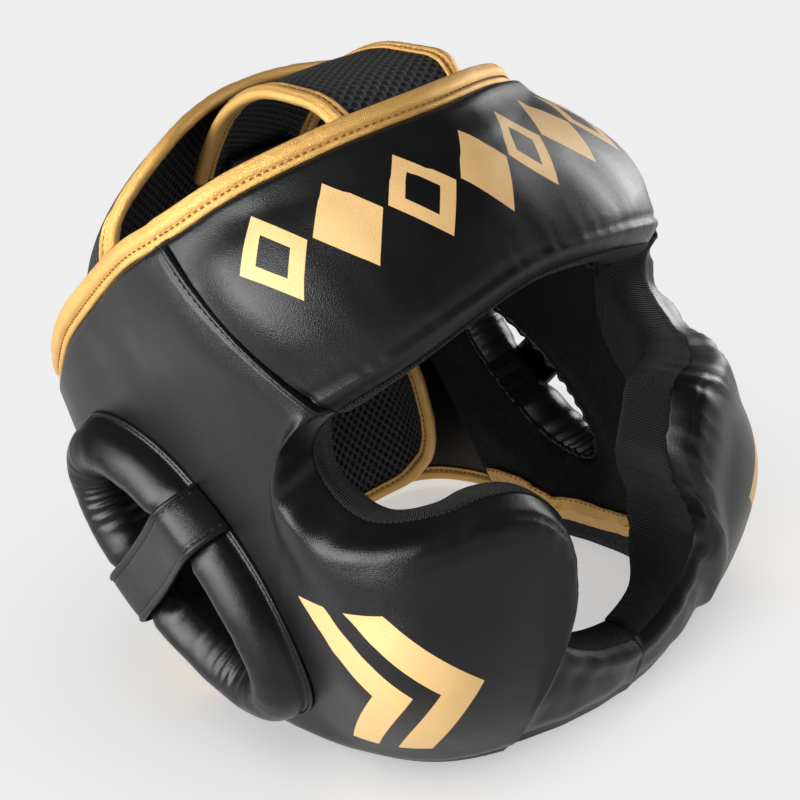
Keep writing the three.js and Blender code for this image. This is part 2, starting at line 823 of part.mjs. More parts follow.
function add(name, geometry, color, roughness, metalness = 0) {
  const material = new THREE.MeshStandardMaterial({ color, roughness, metalness, name: `${name}_material` });
  geometry.translate(0, -MIDDLE, 0);
  const mesh = new THREE.Mesh(geometry, material);
  mesh.name = name;
  root.add(mesh);
}

const LEATHER = 0x161617;
const GOLD = 0xc9963c;
const CLOTH = 0x101010;
const NET = 0x1b1b1c;

add('forehead_pad', browPad(), LEATHER, 0.4);
for (const [label, side] of [['right', -1], ['left', 1]]) {
  add(`side_pad_${label}`, cut(sidePad(side), earPlug(side)), LEATHER, 0.4);
  add(`ear_ring_${label}`, earRing(side), LEATHER, 0.38);
  add(`ear_strap_${label}`, earStrap(side), LEATHER, 0.42);
  const opening = sideStations().slice(14);
  add(`face_lining_${label}`, liningStrip(opening, sideMarks, sideSkin, sideDepth, side), CLOTH, 0.9);
  add(`rim_binding_${label}`, rimTape(side), GOLD, 0.35, 0.6);
}
add('brow_lining', liningStrip(browStations(), browMarks, browSkin, browDepth, 1), CLOTH, 0.9);
add('top_binding', tape(topEdge(), BIND_WIDTH, (TOP_EDGE - TOP_REBATE) / 2 + 4 * SNUG), GOLD, 0.35, 0.6);

const crown = crownGrid();
add('crown_panel', panel(crown, MESH), NET, 0.85);
add('crown_binding_right', tape(border(crown, 'low', 0.15, 1), TAPE_WIDTH, MESH / 2 + SNUG), GOLD, 0.35, 0.6);
add('crown_binding_left', tape(border(crown, 'high', 0.15, 1), TAPE_WIDTH, MESH / 2 + SNUG), GOLD, 0.35, 0.6);

const rear = rearGrid();
add('rear_panel', panel(rear, MESH), NET, 0.85);
add('rear_binding', tape(border(rear, 'low'), TAPE_WIDTH, MESH / 2 + 3 * SNUG), GOLD, 0.35, 0.6);

const tail = [];
for (const [y, drop] of [[46, 9.5], [62, 12], [80, 19]]) {
  const row = [];
  for (const x of [-TAB_WIDTH / 2, 0, TAB_WIDTH / 2]) {
    row.push(new THREE.Vector3(x, y, 250.4 - 0.78 * (y - 36) - drop + 3));
  }
  tail.push(row);
}
add('crown_tab', panel(tail, TAB), LEATHER, 0.42);

const patch = [];
for (let i = 0; i <= 3; i += 1) {
  const row = [];
  for (const z of [45, 70, 95]) {
    row.push(mirror(at(158 + 6 * i, z, -PATCH_DEPTH), -1));
  }
  patch.push(row);
}
add('closure_patch', panel(patch, PATCH), CLOTH, 0.95);

const wingRight = wingGrid(WING_RIGHT, WING_RIGHT_END, -1);
const wingLeft = wingGrid(WING_LEFT, WING_LEFT_END, 1);
add('wing_right', panel(wingRight, WING), NET, 0.85);
add('wing_left', panel(wingLeft, WING), LEATHER, 0.42);
add('wing_binding_right', wingTape(wingRight), GOLD, 0.35, 0.6);

export default root;
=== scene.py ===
"""Padded sparring head guard: black leather pads, gold bound edges, spacer mesh and ribbed linings."""
import json
from math import cos, exp, hypot, pi, radians, sin, sqrt
from types import SimpleNamespace

import bmesh
import bpy
from mathutils import Matrix, Vector, kdtree, noise
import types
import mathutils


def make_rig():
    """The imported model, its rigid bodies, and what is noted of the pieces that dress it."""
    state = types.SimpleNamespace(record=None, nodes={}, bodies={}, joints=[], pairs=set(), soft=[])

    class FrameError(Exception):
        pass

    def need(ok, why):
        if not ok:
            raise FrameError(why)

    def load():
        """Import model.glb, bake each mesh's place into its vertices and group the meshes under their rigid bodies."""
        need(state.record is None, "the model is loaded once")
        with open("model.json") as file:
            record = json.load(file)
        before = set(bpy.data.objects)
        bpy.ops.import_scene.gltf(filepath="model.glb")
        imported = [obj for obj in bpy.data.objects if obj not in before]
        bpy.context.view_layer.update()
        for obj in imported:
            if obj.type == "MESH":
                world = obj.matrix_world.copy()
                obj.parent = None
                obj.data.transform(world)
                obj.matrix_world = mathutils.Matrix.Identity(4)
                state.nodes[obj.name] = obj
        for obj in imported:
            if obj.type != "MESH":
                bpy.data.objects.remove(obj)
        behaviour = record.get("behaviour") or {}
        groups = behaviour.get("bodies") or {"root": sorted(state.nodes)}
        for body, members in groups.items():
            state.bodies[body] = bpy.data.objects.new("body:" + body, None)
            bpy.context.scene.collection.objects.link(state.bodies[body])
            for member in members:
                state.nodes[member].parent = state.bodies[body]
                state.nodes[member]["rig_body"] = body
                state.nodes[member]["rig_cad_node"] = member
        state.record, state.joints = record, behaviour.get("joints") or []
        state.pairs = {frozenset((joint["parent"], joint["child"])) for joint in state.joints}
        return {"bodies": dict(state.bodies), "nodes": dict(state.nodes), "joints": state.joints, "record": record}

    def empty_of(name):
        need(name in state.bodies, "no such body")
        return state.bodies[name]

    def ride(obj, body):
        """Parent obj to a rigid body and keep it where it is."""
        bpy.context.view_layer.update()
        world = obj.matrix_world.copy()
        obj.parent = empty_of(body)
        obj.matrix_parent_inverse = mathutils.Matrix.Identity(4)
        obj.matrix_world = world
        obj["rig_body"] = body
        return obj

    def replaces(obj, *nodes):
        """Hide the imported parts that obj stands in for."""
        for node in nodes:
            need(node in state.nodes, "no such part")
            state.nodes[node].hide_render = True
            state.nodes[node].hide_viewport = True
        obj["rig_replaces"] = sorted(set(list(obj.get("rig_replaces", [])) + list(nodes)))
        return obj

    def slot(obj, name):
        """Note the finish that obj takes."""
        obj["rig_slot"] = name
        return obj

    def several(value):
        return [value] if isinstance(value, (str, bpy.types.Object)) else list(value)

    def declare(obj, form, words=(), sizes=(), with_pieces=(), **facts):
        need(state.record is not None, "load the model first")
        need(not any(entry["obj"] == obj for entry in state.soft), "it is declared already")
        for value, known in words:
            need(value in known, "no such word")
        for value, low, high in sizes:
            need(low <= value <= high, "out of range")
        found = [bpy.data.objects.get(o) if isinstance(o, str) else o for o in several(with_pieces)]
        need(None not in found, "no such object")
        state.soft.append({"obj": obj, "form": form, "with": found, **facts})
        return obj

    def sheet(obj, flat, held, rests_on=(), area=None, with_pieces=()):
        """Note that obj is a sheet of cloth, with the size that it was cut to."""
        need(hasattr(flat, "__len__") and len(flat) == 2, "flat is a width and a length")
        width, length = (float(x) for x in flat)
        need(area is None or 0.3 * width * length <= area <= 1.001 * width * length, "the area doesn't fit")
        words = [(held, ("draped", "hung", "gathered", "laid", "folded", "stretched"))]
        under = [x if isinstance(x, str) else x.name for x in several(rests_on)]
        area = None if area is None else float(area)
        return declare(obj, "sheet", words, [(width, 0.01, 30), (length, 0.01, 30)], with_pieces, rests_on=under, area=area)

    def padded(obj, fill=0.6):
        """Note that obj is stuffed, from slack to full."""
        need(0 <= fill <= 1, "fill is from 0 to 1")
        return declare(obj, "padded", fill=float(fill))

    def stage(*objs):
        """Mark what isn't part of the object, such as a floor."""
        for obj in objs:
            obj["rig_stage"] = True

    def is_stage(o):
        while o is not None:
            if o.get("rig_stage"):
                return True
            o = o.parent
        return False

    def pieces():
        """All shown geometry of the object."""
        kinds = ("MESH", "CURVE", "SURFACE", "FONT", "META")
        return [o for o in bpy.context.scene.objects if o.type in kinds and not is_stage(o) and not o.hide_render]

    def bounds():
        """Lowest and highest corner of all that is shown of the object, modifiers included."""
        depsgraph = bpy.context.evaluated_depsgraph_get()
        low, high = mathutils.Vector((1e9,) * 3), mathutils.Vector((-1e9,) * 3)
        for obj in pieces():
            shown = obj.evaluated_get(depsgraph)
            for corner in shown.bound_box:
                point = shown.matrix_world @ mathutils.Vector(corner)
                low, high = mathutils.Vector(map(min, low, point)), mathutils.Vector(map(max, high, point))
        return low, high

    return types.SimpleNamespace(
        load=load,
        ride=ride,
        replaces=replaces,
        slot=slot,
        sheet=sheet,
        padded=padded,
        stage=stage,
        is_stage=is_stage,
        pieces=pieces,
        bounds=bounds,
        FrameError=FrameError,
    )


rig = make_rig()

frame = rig.load()
cad_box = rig.bounds()

# Sizes below are millimetres of the real guard; MM lays them in metres
MM = 0.001
SIDES = (("right", -1), ("left", 1))
MIDDLE = 5.3  # how far the guard's middle lies behind the form's axis
LEAN, LEAN_RISE = 4.5, 0.062  # the soft top leans to the right, and rises there
PRESS, PRESS_X, PRESS_Y = 8.0, 0.75, 0.62  # the forehead is pressed in at the upper left, from this side
BIND_WIDTH = 8.8  # gold tape on the pads' upper edge
TAPE_WIDTH = 7.0  # gold tape on the mesh panels
TAPE = 1.0  # thickness of a tape leg
TAPE_SEAM = 0.64  # its stitches, as a share of the width
TAPE_GATHER = 0.2
RIM_LEG = 8.5  # gathered tape on the inner lower edge: each leg, its gap, its stitches
RIM_GAP = 1.4
RIM_SEWN = 6.2
TOP_EDGE = 7.0  # pad thickness under the tape
TOP_REBATE = 3.0  # step from the pad down to the tape
PAD_SIDE = 24.0
PAD_BROW = 27.0
RIM_RISE = 20.0  # inner lower edge above the floor
REST_WIDTH = 9.0  # flat band that the rim stands on
LINING = 1.4
LINING_STEPS = 22  # faces across a lining, and the share of it that goes round the pad's edge
LINING_NOSE = 0.42
LINING_EASE = 1.05  # cut width of a lining over its width in place
LINING_FACE = 32  # how far the linings go in along the pads
LINING_BROW = 22
LINING_TUCK = 0.6  # how far they start under the leather
LINING_BACK = 11  # how far the right lining is set back in the eye corner
LEFT_BACK = 4.5  # degrees that the left cheek's edge stands further back
MESH = 2.2
WING = 2.2
EAR_Y = 28.0  # ear ring: centre, lean, half axes of the tube line
EAR_Z = 85.0
EAR_COS, EAR_SIN = cos(radians(43.0)), sin(radians(43.0))
EAR_LONG = 67.0
EAR_SHORT = 34.0
EAR_TUBE = 13.0  # half width of the tube, its top, its middle and the sleeve's depth
EAR_PROUD = 18.0
EAR_CORE = 4.6
EAR_DEPTH = -14.0
EAR_THIN = 13.5  # pad thickness at the ear hole
RING_STEPS = 250
RING_FOLDS = 56
STRAP_WIDTH = 26.0
STRAP = 2.2
STRAP_UP = 8.0
STRAP_LEAN = 0.18
STRAP_SEWN = 9.4  # stitches from the strap's middle
STRAP_LONG, STRAP_ACROSS = 90, 44  # faces along the strap and round its section
REAR_REACH = 146.0
REAR_SQUARE = 5.6
REAR_FLARE = 0.02
REAR_TOP = 140.5
REAR_TOP_Z = 161.0
REAR_FOOT = 119.0
REAR_DEPTH = 18.6
CROWN_SPREAD = 24.0
CROWN_FRONT = (252, 259)  # heights of the crown panel's rows inside the forehead
WING_RIGHT_END = 227.0
WING_LEFT_END = 203.0
TAB_WIDTH = 34.0

# Sections, counted along the edges
SEAM_ROW = 4  # side pad: top of the temple seam, its foot, and the middle of the chin
FACE_ROW = 6
SIDE_END = 19
BROW_END = 6  # forehead pad: the left temple seam
EDGE_END = 14  # upper edge: the left rear corner
SECTION_RUN = 24  # about the millimetres in a section of a side pad, and of the forehead by the seam
SEAM_RUN = 38
SEAM_SEWN = 4.4  # stitches from the temple seam
TURN_RUN = 1.85  # millimetres of the cheek's chart in a degree
OFF_PRINT = (-900.0, 0.0)  # place on a chart that no print reaches


def table(names, *lines):
    """Rows with named columns."""
    keys = names.split()
    return [dict(zip(keys, line)) for line in lines]


# Outer form by height: half width, reach to the front, squareness of the front
FORM = table(
    "z half front square",
    (0, 101.0, 116.0, 2.10), (27, 104.5, 126.0, 2.35), (52, 105.5, 129.0, 2.65), (90, 106.0, 131.0, 2.95),
    (124, 106.0, 128.5, 3.05), (150, 106.0, 127.0, 2.95), (170, 106.5, 125.5, 2.80),
    (195, 108.0, 121.0, 2.50), (215, 107.5, 111.0, 2.10), (237, 102.0, 97.0, 1.80), (275, 90.0, 73.0, 1.75),
)
CHEEK = SimpleNamespace(turn=44.0, z=62.0, rise=20.0, spread=19.0, tall=50.0)

# Side pad by section: upper edge, turn of the foot, lift of the skin
SIDE_TOP = table(
    "turn z foot lift",
    (REAR_TOP, REAR_TOP_Z, REAR_FOOT, 0), (125.5, 190, 117.5, 0), (108.5, 212, 115.5, 0), (93, 228, 113, 0),
    (78, 239, 110.5, 0), (62, 203, 107.5, 1.5), (45.6, 167.5, 104.5, 3),
)
SIDE_FACE = table(
    "turn z foot lift",
    (45.6, 167.5, 104.5, 4), (52.5, 157, 99, 6), (54.5, 142, 92, 6), (47.5, 126, 78, 4.5),
    (32.9, 122.5, 65, 3.5), (24.2, 122.5, 57, 3.5), (16.8, 117, 50, 3.5), (11.9, 104, 45, 3.5),
    (10.9, 90, 41, 3.5), (12.8, 72, 37, 3), (17.4, 54, 33, 1.5), (15.6, 45, 29, -3.5),
    (9.5, 35, 18, -3), (0.08, 28, 0.08, -2.5),
)
# Dents in the roll at the eye corner: section, depth
EYE_DENTS = ((6.9, -1.3), (7.35, 1.5), (7.85, -1.6), (8.3, 1.5), (8.8, -1.2))
# Left lining by section from FACE_ROW: how far it reaches into the opening, and how plump it is
LEFT_LINING = table(
    "reach plump",
    (14, 11), (11, 4), (9, 1), (9, 1), (9, 1), (8, 0), (8, 0), (9, 1),
    (12, 4), (13, 9), (9, 13), (4, 12), (2, 3), (2, 0),
)
LINING_PINCHES = (6.9, 7.3, 8.7, 12.2, 17.4)
# Forehead pad, from the seam to just past the middle: upper edge and brow edge
BROW = table(
    "turn z low lowz",
    (78, 239, 45.6, 167.5), (57, 253, 34.5, 176), (29, 262, 18, 186.5), (0, 265, 0, 192),
    (-29, 262, -18, 186.5),
)
# Crown panel from the forehead to the tail
CROWN = table(
    "y z half droop",
    (-56, 266, 33, 2), (-38, 270.5, 32.5, 2), (-18, 272, 32, 2), (2, 269, 31.5, 3),
    (22, 260, 31, 3), (41, 246.5, 31, 4), (57, 233, 30, 4),
)
# Crown tab from the crown panel's tail
TAB = table("y z", (46, 235.1), (54, 228.9), (62, 221.1), (71, 210.0), (80, 200.1))
# Rear panel, from the side to just past the middle: front arch, low edge, bulge
REAR = table(
    "x y z lowturn lowz bulge",
    (88, 47, 203, 140, 154, 2), (85, 32, 231, 148, 136, 13), (60, 25, 252, 158, 123, 26),
    (29, 32, 263, 169, 120, 33), (0, 37, 266, 180, 120, 35), (-29, 32, 263, 191, 120, 33),
)
REAR_END = 8
# Closing wings from the pad to the free end: share of the turn, depth, lower and upper edge
WING_RIGHT = table(
    "turn depth low top",
    (0, 9, 6, 143), (0.14, 9, 8, 137), (0.34, 9, 10, 129), (0.56, 9, 11, 125), (0.76, 15, 12, 116),
    (0.88, 21, 16, 112), (0.95, 25, 26, 103), (0.985, 26.5, 40, 90), (1, 27, 54, 76),
)
WING_LEFT = table(
    "turn depth low top",
    (0, 3, 6, 143), (0.3, 2.1, 8, 137), (0.62, 2.1, 10, 128), (0.84, 2.1, 14, 122),
    (0.95, 2.1, 22, 114), (1, 2.1, 42, 94),
)
# Stitches by seam: colour, pitch, length, width
STITCH = {
    "temple": ("black", 3.2, 2.2, 0.8), "lining": ("black", 2.3, 1.7, 0.7), "ring": ("black", 2.8, 2.1, 0.7),
    "strap": ("black", 3.5, 2.3, 1.0), "hem": ("black", 3.4, 2.3, 0.9), "tape": ("gold", 3.2, 2.2, 0.85),
    "rim": ("gold", 3.6, 2.4, 0.6),
}


# Curves and the guard's outer form

def smooth(x):
    t = min(max(x, 0.0), 1.0)
    return t * t * (3 - 2 * t)


def span(x, start, rise, end, fall):
    """0 before start and after end, 1 between, with smooth slopes of these lengths."""
    return smooth((x - start) / rise) * smooth((end - x) / fall)


def bell(x, width):
    return exp(-((x / width) ** 2))


def dip(x):
    """1 at 0, levelling out to 0 at 1."""
    return (1 - min(x, 1)) ** 2


def between(a, b, c, d, f):
    """Smooth value between b and c."""
    bend = (2 * a - 5 * b + 4 * c - d) * (f * f)
    twist = (3 * b - a - 3 * c + d) * (f * f * f)
    return b + ((c - a) * f + bend + twist) * 0.5


def along(rows, t):
    last = len(rows) - 1
    i = min(int(t), last - 1)
    a, b, c, d = rows[max(i - 1, 0)], rows[i], rows[i + 1], rows[min(i + 2, last)]
    return SimpleNamespace(**{key: between(a[key], b[key], c[key], d[key], t - i) for key in b})


def lengths(points):
    """Running length at each point of a line."""
    run = [0.0]
    for p, q in zip(points, points[1:]):
        run.append(run[-1] + (q - p).length)
    return run


def by_height(z):
    i = 0
    while i < len(FORM) - 2 and z > FORM[i + 1]["z"]:
        i += 1
    share = (z - FORM[i]["z"]) / (FORM[i + 1]["z"] - FORM[i]["z"])
    row = along(FORM, i + min(max(share, 0), 1))
    return row.half, row.front, row.square


FORM_TOP = 290
HEIGHTS = [by_height(z) for z in range(FORM_TOP + 2)]


def form(turn, z):
    """Point of the outer form at a turn in degrees from the front, and a height."""
    level = min(max(z, 0.0), FORM_TOP)
    i = int(level)
    f = level - i
    half, front, square = (p + (q - p) * f for p, q in zip(HEIGHTS[i], HEIGHTS[i + 1]))
    s, c = sin(radians(turn)), cos(radians(turn))
    n = square + (REAR_SQUARE - square) * smooth((-c - 0.05) / 0.3)
    wide = half * (1 + REAR_FLARE * smooth((-c - 0.1) / 0.5))
    r = (abs(s / wide) ** n + abs(c / (front if c > 0 else REAR_REACH)) ** n) ** (-1 / n)
    r += cheek(turn, z)
    return Vector((r * s, -r * c, z))


def cheek(turn, z):
    return CHEEK.rise * bell(abs(turn) - CHEEK.turn, CHEEK.spread) * bell(z - CHEEK.z, CHEEK.tall)


def at(turn, z, off):
    """Point at a distance out from the form."""
    a = form(turn + 0.5, z) - form(turn - 0.5, z)
    b = form(turn, z + 1) - form(turn, z - 1)
    return form(turn, z) + a.cross(b).normalized() * off


def turn_at(y, z):
    low, high = 20.0, 170.0
    for _ in range(22):
        mid = (low + high) / 2
        if form(mid, z).y < y:
            low = mid
        else:
            high = mid
    return (low + high) / 2


def flip(p, side):
    return Vector((p.x * side, p.y, p.z))


def ripple(x, y, seed):
    """Smooth unevenness from -1 to 1."""
    return noise.noise(Vector((x, y, seed)))


def round_ripple(angle, reach, seed):
    """Unevenness that meets itself after a full turn."""
    return ripple(reach * cos(angle), reach * sin(angle), seed)


def spread(spot, low, high, count):
    """Values from low to high whose spots are evenly spaced."""
    steps = 400
    fine = [low + (high - low) * i / steps for i in range(steps + 1)]
    run = lengths([spot(value) for value in fine])
    out, k = [], 0
    for i in range(count + 1):
        want = run[-1] * i / count
        while k < steps - 1 and run[k + 1] < want:
            k += 1
        f = (want - run[k]) / max(run[k + 1] - run[k], 1e-9)
        out.append(fine[k] + (fine[k + 1] - fine[k]) * min(max(f, 0), 1))
    return out


# The pads' upper edge in one line: 0 at the rear corner, SEAM_ROW at the seam, EDGE_END / 2 at the middle
EDGE_LINE = table("turn z", *((row["turn"], row["z"]) for row in SIDE_TOP[: SEAM_ROW + 1] + BROW[1:]))
EDGE_STEPS = 30
EDGE = kdtree.KDTree(EDGE_STEPS * EDGE_END // 2 + 1)
for step in range(EDGE_STEPS * EDGE_END // 2 + 1):
    edge_place = along(EDGE_LINE, step / EDGE_STEPS)
    EDGE.insert(form(edge_place.turn, edge_place.z), step)
EDGE.balance()


def from_edge(turn, z):
    return EDGE.find(form(turn, z))[2]


def rebate_depth(w):
    """Depth of the tape's step at a place of EDGE_LINE, deeper along the forehead."""
    return TOP_REBATE + 2.5 * smooth((w - 2.6) / 1.6)


def rebate(e, w):
    return rebate_depth(w) * (1 - smooth((e - BIND_WIDTH + 1) / 4))


def thickness(e, full, w):
    """Depth of the inner face, from the form to the lining."""
    edge = TOP_EDGE + rebate_depth(w) - TOP_REBATE
    return edge + (full - edge) * smooth((e - BIND_WIDTH - 4) / 28)


# Side pad sections: s runs along the edge, from 0 at the rear corner to SEAM_ROW, down the temple seam to
# FACE_ROW, round the eye corner at 8, over the cheek's top at 10 and its front at 14, past the chin bar's
# seam at 16.6 and to SIDE_END; d runs from the edge to the foot

def side_section(s, side=1):
    """A section's edge, foot and length, and how strongly each feature of the skin shows in it."""
    row = along(SIDE_TOP, s) if s < FACE_ROW else along(SIDE_FACE, s - FACE_ROW)
    if s < SEAM_ROW:
        edge = along(EDGE_LINE, s)
        row.turn, row.z = edge.turn, edge.z
    elif s < FACE_ROW:
        top, low, f = SIDE_TOP[SEAM_ROW], SIDE_FACE[0], (s - SEAM_ROW) / (FACE_ROW - SEAM_ROW)
        row.turn, row.z = (top[key] * (1 - f) + low[key] * f for key in ("turn", "z"))
    elif side > 0:
        row.turn += LEFT_BACK * span(s, 10.5, 2, 16.5, 1.5)
    row.s, row.side = s, side
    row.edge = form(row.turn, row.z)
    row.bend = 1.3 * span(s, 4.3, 1.7, 9.0, 3.4)
    row.length = lengths([form(*side_path(row, i / 16)) for i in range(17)])[-1]
    row.rise = min(RIM_RISE, 0.55 * row.length)
    row.seam = span(s, SEAM_ROW, 0.2, 6.3, 0.4)
    row.band = 3.6 * smooth((10.8 - s) / 3) + 0.5
    row.wide = 6 + 5 * smooth((9.5 - s) / 2.5)
    row.roll, row.back = 5.5, 0.0
    if side > 0:
        calm = span(s, 5, 0.8, 9.8, 1.8)
        row.open = smooth((s - 5.7) / 0.8)
        row.flush = row.seam * smooth((6.2 - s) / 1.4)
        row.lift *= 1 - 0.8 * calm
        row.roll *= 1 - 0.6 * calm
        row.band *= smooth((s - 6.1) / 2.4)
    else:
        row.open = smooth((s - 5.85) / 0.4)
        row.flush = row.seam
        row.back = LINING_BACK * span(s, 6.05, 0.6, 9.2, 1.9)
    row.lobe = smooth((row.lift + 1) / 2.5)
    return row


def side_path(row, f):
    """Turn and height from the edge, at 0, to the foot, at 1; rows by the eye corner start level."""
    z = row.z * (1 - f)
    if f > 0:
        z += row.bend * row.z * f * (1 - f) ** 3
    return row.turn + (row.foot - row.turn) * f, max(z, 0)


def side_place(row, d):
    return side_path(row, d / row.length)


def side_at(row, d, off):
    return at(*side_place(row, d), off)


def side_skin(row, d):
    """Outward offset of the leather at a distance from the edge."""
    turn, z = side_place(row, d)
    e = from_edge(turn, z)
    off = row.lift * max(smooth(d / 14), row.flush) * (1 - row.lobe * smooth((d - 18) / 26))
    off -= rebate(e, row.s)
    groove = 3.6 * dip(d / 1.8) + 1.2 * bell(d - SEAM_SEWN, 0.7)
    off -= row.seam * smooth((e - BIND_WIDTH) / 8) * groove
    band = row.band * row.lobe
    off -= row.open * (row.roll * dip(d / 7) + band * (1 - smooth((d - 3) / row.wide)))
    off += row.open * 0.28 * band * bell(d - 5 - row.wide, 6)
    off -= row.open * 0.7 * bell(d - 7.5, 1.0) * span(row.s, 10, 1, 16.5, 0.5)
    off -= 6 * dip((row.length - d) / 14)
    off -= 2.4 * bell(row.s - 16.62, 0.32) * smooth(d / 8) * (1 - smooth((d - 20) / 26))
    return off + side_wrinkle(row, d, turn, z)


def side_wrinkle(row, d, turn, z):
    """Puckers at the seams, dents at the eye corner and the unevenness of the stuffing."""
    run = row.s * SECTION_RUN
    cheek_part = span(row.s, 8.2, 1.5, 16.4, 1.5)
    more, wider = (1.7, 5) if row.side > 0 else (0.25, 0)
    pucker = ripple(run / 5.5, d / 30, 3.1) + 0.6 * ripple(run / 2.6, d / 16, 8.4)
    off = row.open * (0.6 + more * cheek_part) * pucker * bell(d - 6, 9 + wider * cheek_part)
    pull = span(row.s, 6.2, 0.8, 10.6, 1.5)
    off += 0.9 * pull * ripple(row.s * 3.4, d / 60, 12.0) * bell(d - 48, 26)
    off += bell(d - 9, 5) * sum(deep * bell(row.s - s, 0.2) for s, deep in EYE_DENTS)
    off += row.seam * 0.35 * ripple(run / 3, 0.5, 6.2) * bell(d - 5, 4)
    chin = smooth((row.s - 16.7) / 0.4)
    off += chin * 0.9 * ripple(run / 7, d / 22, 5.0) * smooth(d / 4)
    return off + 0.55 * ripple(turn / 13, z / 26, 1.7) * smooth(d / 20)


def side_depth(row, d):
    turn, z = side_place(row, d)
    slim = PAD_SIDE - 3 * (1 - row.lobe)
    thick = thickness(from_edge(turn, z), slim, row.s) - 2 * smooth((d - row.length + 30) / 30)
    thick += 0.7 * cheek(turn, z) * smooth(d / 30)
    return thick + (EAR_THIN - thick) * near_ear(turn, z)


def near_ear(turn, z):
    """1 at the ear hole, where the pad is thin, down to 0 away from it."""
    if turn < 25:
        return 0.0
    p = form(turn, z)
    y, up = p.y - EAR_Y, p.z - EAR_Z
    far = hypot((y * EAR_COS + up * EAR_SIN) / EAR_LONG, (y * EAR_SIN - up * EAR_COS) / EAR_SHORT)
    return 1 - smooth((far - 0.75) / 0.5)


SIDE_VALUES = spread(lambda s: side_section(s).edge, 0, SIDE_END, 190)
SIDE_STATIONS = {side: [side_section(s, side) for s in SIDE_VALUES] for _, side in SIDES}
OUTER, FOOT, WALL, NOSE = 50, 6, 26, 6  # faces over the skin, under the rim, up the inside, round the edge
SIDE_LOOP = OUTER + FOOT + WALL + NOSE
CLOSE_BY_EDGE, CLOSE_BY_FOOT = 22, 8  # of the skin's faces, those that lie closer together
EDGE_ZONE, FOOT_ZONE = 30, 14


def side_distance(row, k):
    """Distance from the edge of the k-th point over the skin."""
    zone = EDGE_ZONE * min(1, 0.4 * row.length / EDGE_ZONE)
    low = row.length - FOOT_ZONE
    plain = OUTER - CLOSE_BY_FOOT - CLOSE_BY_EDGE
    if k <= CLOSE_BY_EDGE:
        return zone * (k / CLOSE_BY_EDGE) ** 1.35
    if k <= OUTER - CLOSE_BY_FOOT:
        return zone + (low - zone) * (k - CLOSE_BY_EDGE) / plain
    return low + FOOT_ZONE * (k - OUTER + CLOSE_BY_FOOT) / CLOSE_BY_FOOT


def rest_line(row):
    """Inner side of the flat band that the rim stands on."""
    p = at(row.foot, 0, side_skin(row, row.length) - REST_WIDTH)
    p.z = 0
    return p


def side_profile(row):
    """Closed line of points round the pad's section."""
    outer = []
    for k in range(OUTER + 1):
        d = side_distance(row, k)
        p = side_at(row, d, side_skin(row, d))
        p.z = max(p.z, 0.0) if k < OUTER else 0
        outer.append(p)
    wall = []
    for k in range(WALL + 1):
        d = row.back + (row.length - row.rise - row.back) * (1 - k / WALL)
        wall.append(side_at(row, d, -side_depth(row, d)))
    band = rest_line(row)
    foot = [outer[-1].lerp(band, 0.5), band]
    foot += [band.lerp(wall[0], (k + 1) / (FOOT - 2)) for k in range(FOOT - 2)]
    nose = []
    for f in (k / NOSE for k in range(1, NOSE + 1)):
        d = row.back * (1 - f) - 2.2 * row.open * sin(pi * f)
        nose.append(side_at(row, d, side_skin(row, 0) * f - side_depth(row, row.back) * (1 - f)))
    return outer + foot + wall[1:] + nose


# Forehead pad sections: t from 0 at the right seam to BROW_END at the left one

def brow_section(t):
    end = min(t, BROW_END - t)
    row = along(BROW, end)
    row.t, row.end = t, end
    row.side = -1 if t <= BROW_END / 2 else 1
    edge = along(EDGE_LINE, SEAM_ROW + end)
    row.turn, row.z = edge.turn, edge.z
    row.length = lengths([form(*brow_path(row, i / 10)) for i in range(11)])[-1]
    row.edge = flip(form(row.turn, row.z), row.side)
    return row


def brow_path(row, f):
    return row.turn + (row.low - row.turn) * f, row.z + (row.lowz - row.z) * f


def brow_place(row, d):
    return brow_path(row, d / row.length)


def brow_at(row, d, off):
    return at(*brow_place(row, d), off)


def brow_skin(row, d):
    """Outward offset of the leather at a distance from the upper edge."""
    e = from_edge(*brow_place(row, d))
    swell = sin(pi * min(max(d / row.length, 0), 1)) ** 2
    off = -rebate(e, SEAM_ROW + row.end)
    off += 5.5 * swell * (0.35 + 0.65 * smooth(row.end / 0.6)) * smooth((e - 11) / 20)
    seam, low = row.end * SEAM_RUN, row.length - d
    off -= smooth((e - BIND_WIDTH) / 8) * 4.2 * dip(seam / 2.0)
    off -= 6.5 * dip(low / 8) + 1.0 * bell(low - 9.5, 1.6) - 0.5 * bell(low - 6, 1.4)
    pucker = ripple(d / 3.4, 0.3, 9.0) + 0.5 * ripple(d / 1.9, 0.3, 2.0)
    off += 0.4 * pucker * bell(seam - 2.5, 2.5)
    fold = ripple(row.t * 8, 0.2, 4.0) + 0.6 * ripple(row.t * 17, 0.2, 7.0)
    off += 0.4 * fold * bell(low - 8, 9)
    return off + 0.45 * ripple(row.t * 3, d / 30, 1.0) * smooth(d / 20)


def brow_depth(row, d):
    return thickness(from_edge(*brow_place(row, d)), PAD_BROW, SEAM_ROW + row.end)


SEAM_STEPS = [mm / SEAM_RUN for mm in (0.4, 0.8, 1.2, 1.7, 2.3, 3.0, 4.0)]  # closer stations at the seams
BROW_VALUES = sorted(
    SEAM_STEPS + [BROW_END - t for t in SEAM_STEPS]
    + [t for t in spread(lambda t: brow_section(t).edge, 0, BROW_END, 150)
       if min(t, BROW_END - t) > 0.12 or t in (0, BROW_END)]
)
BROW_STATIONS = [brow_section(t) for t in BROW_VALUES]
BROW_OUTER, BROW_WALL, BROW_NOSE = 40, 20, 6
BROW_LOOP = BROW_OUTER + 2 * BROW_NOSE + BROW_WALL


def brow_distance(row, k):
    """Distance from the upper edge of the k-th point over the skin, closer together at both ends."""
    return row.length * smooth(k / BROW_OUTER) * 0.35 + row.length * k / BROW_OUTER * 0.65


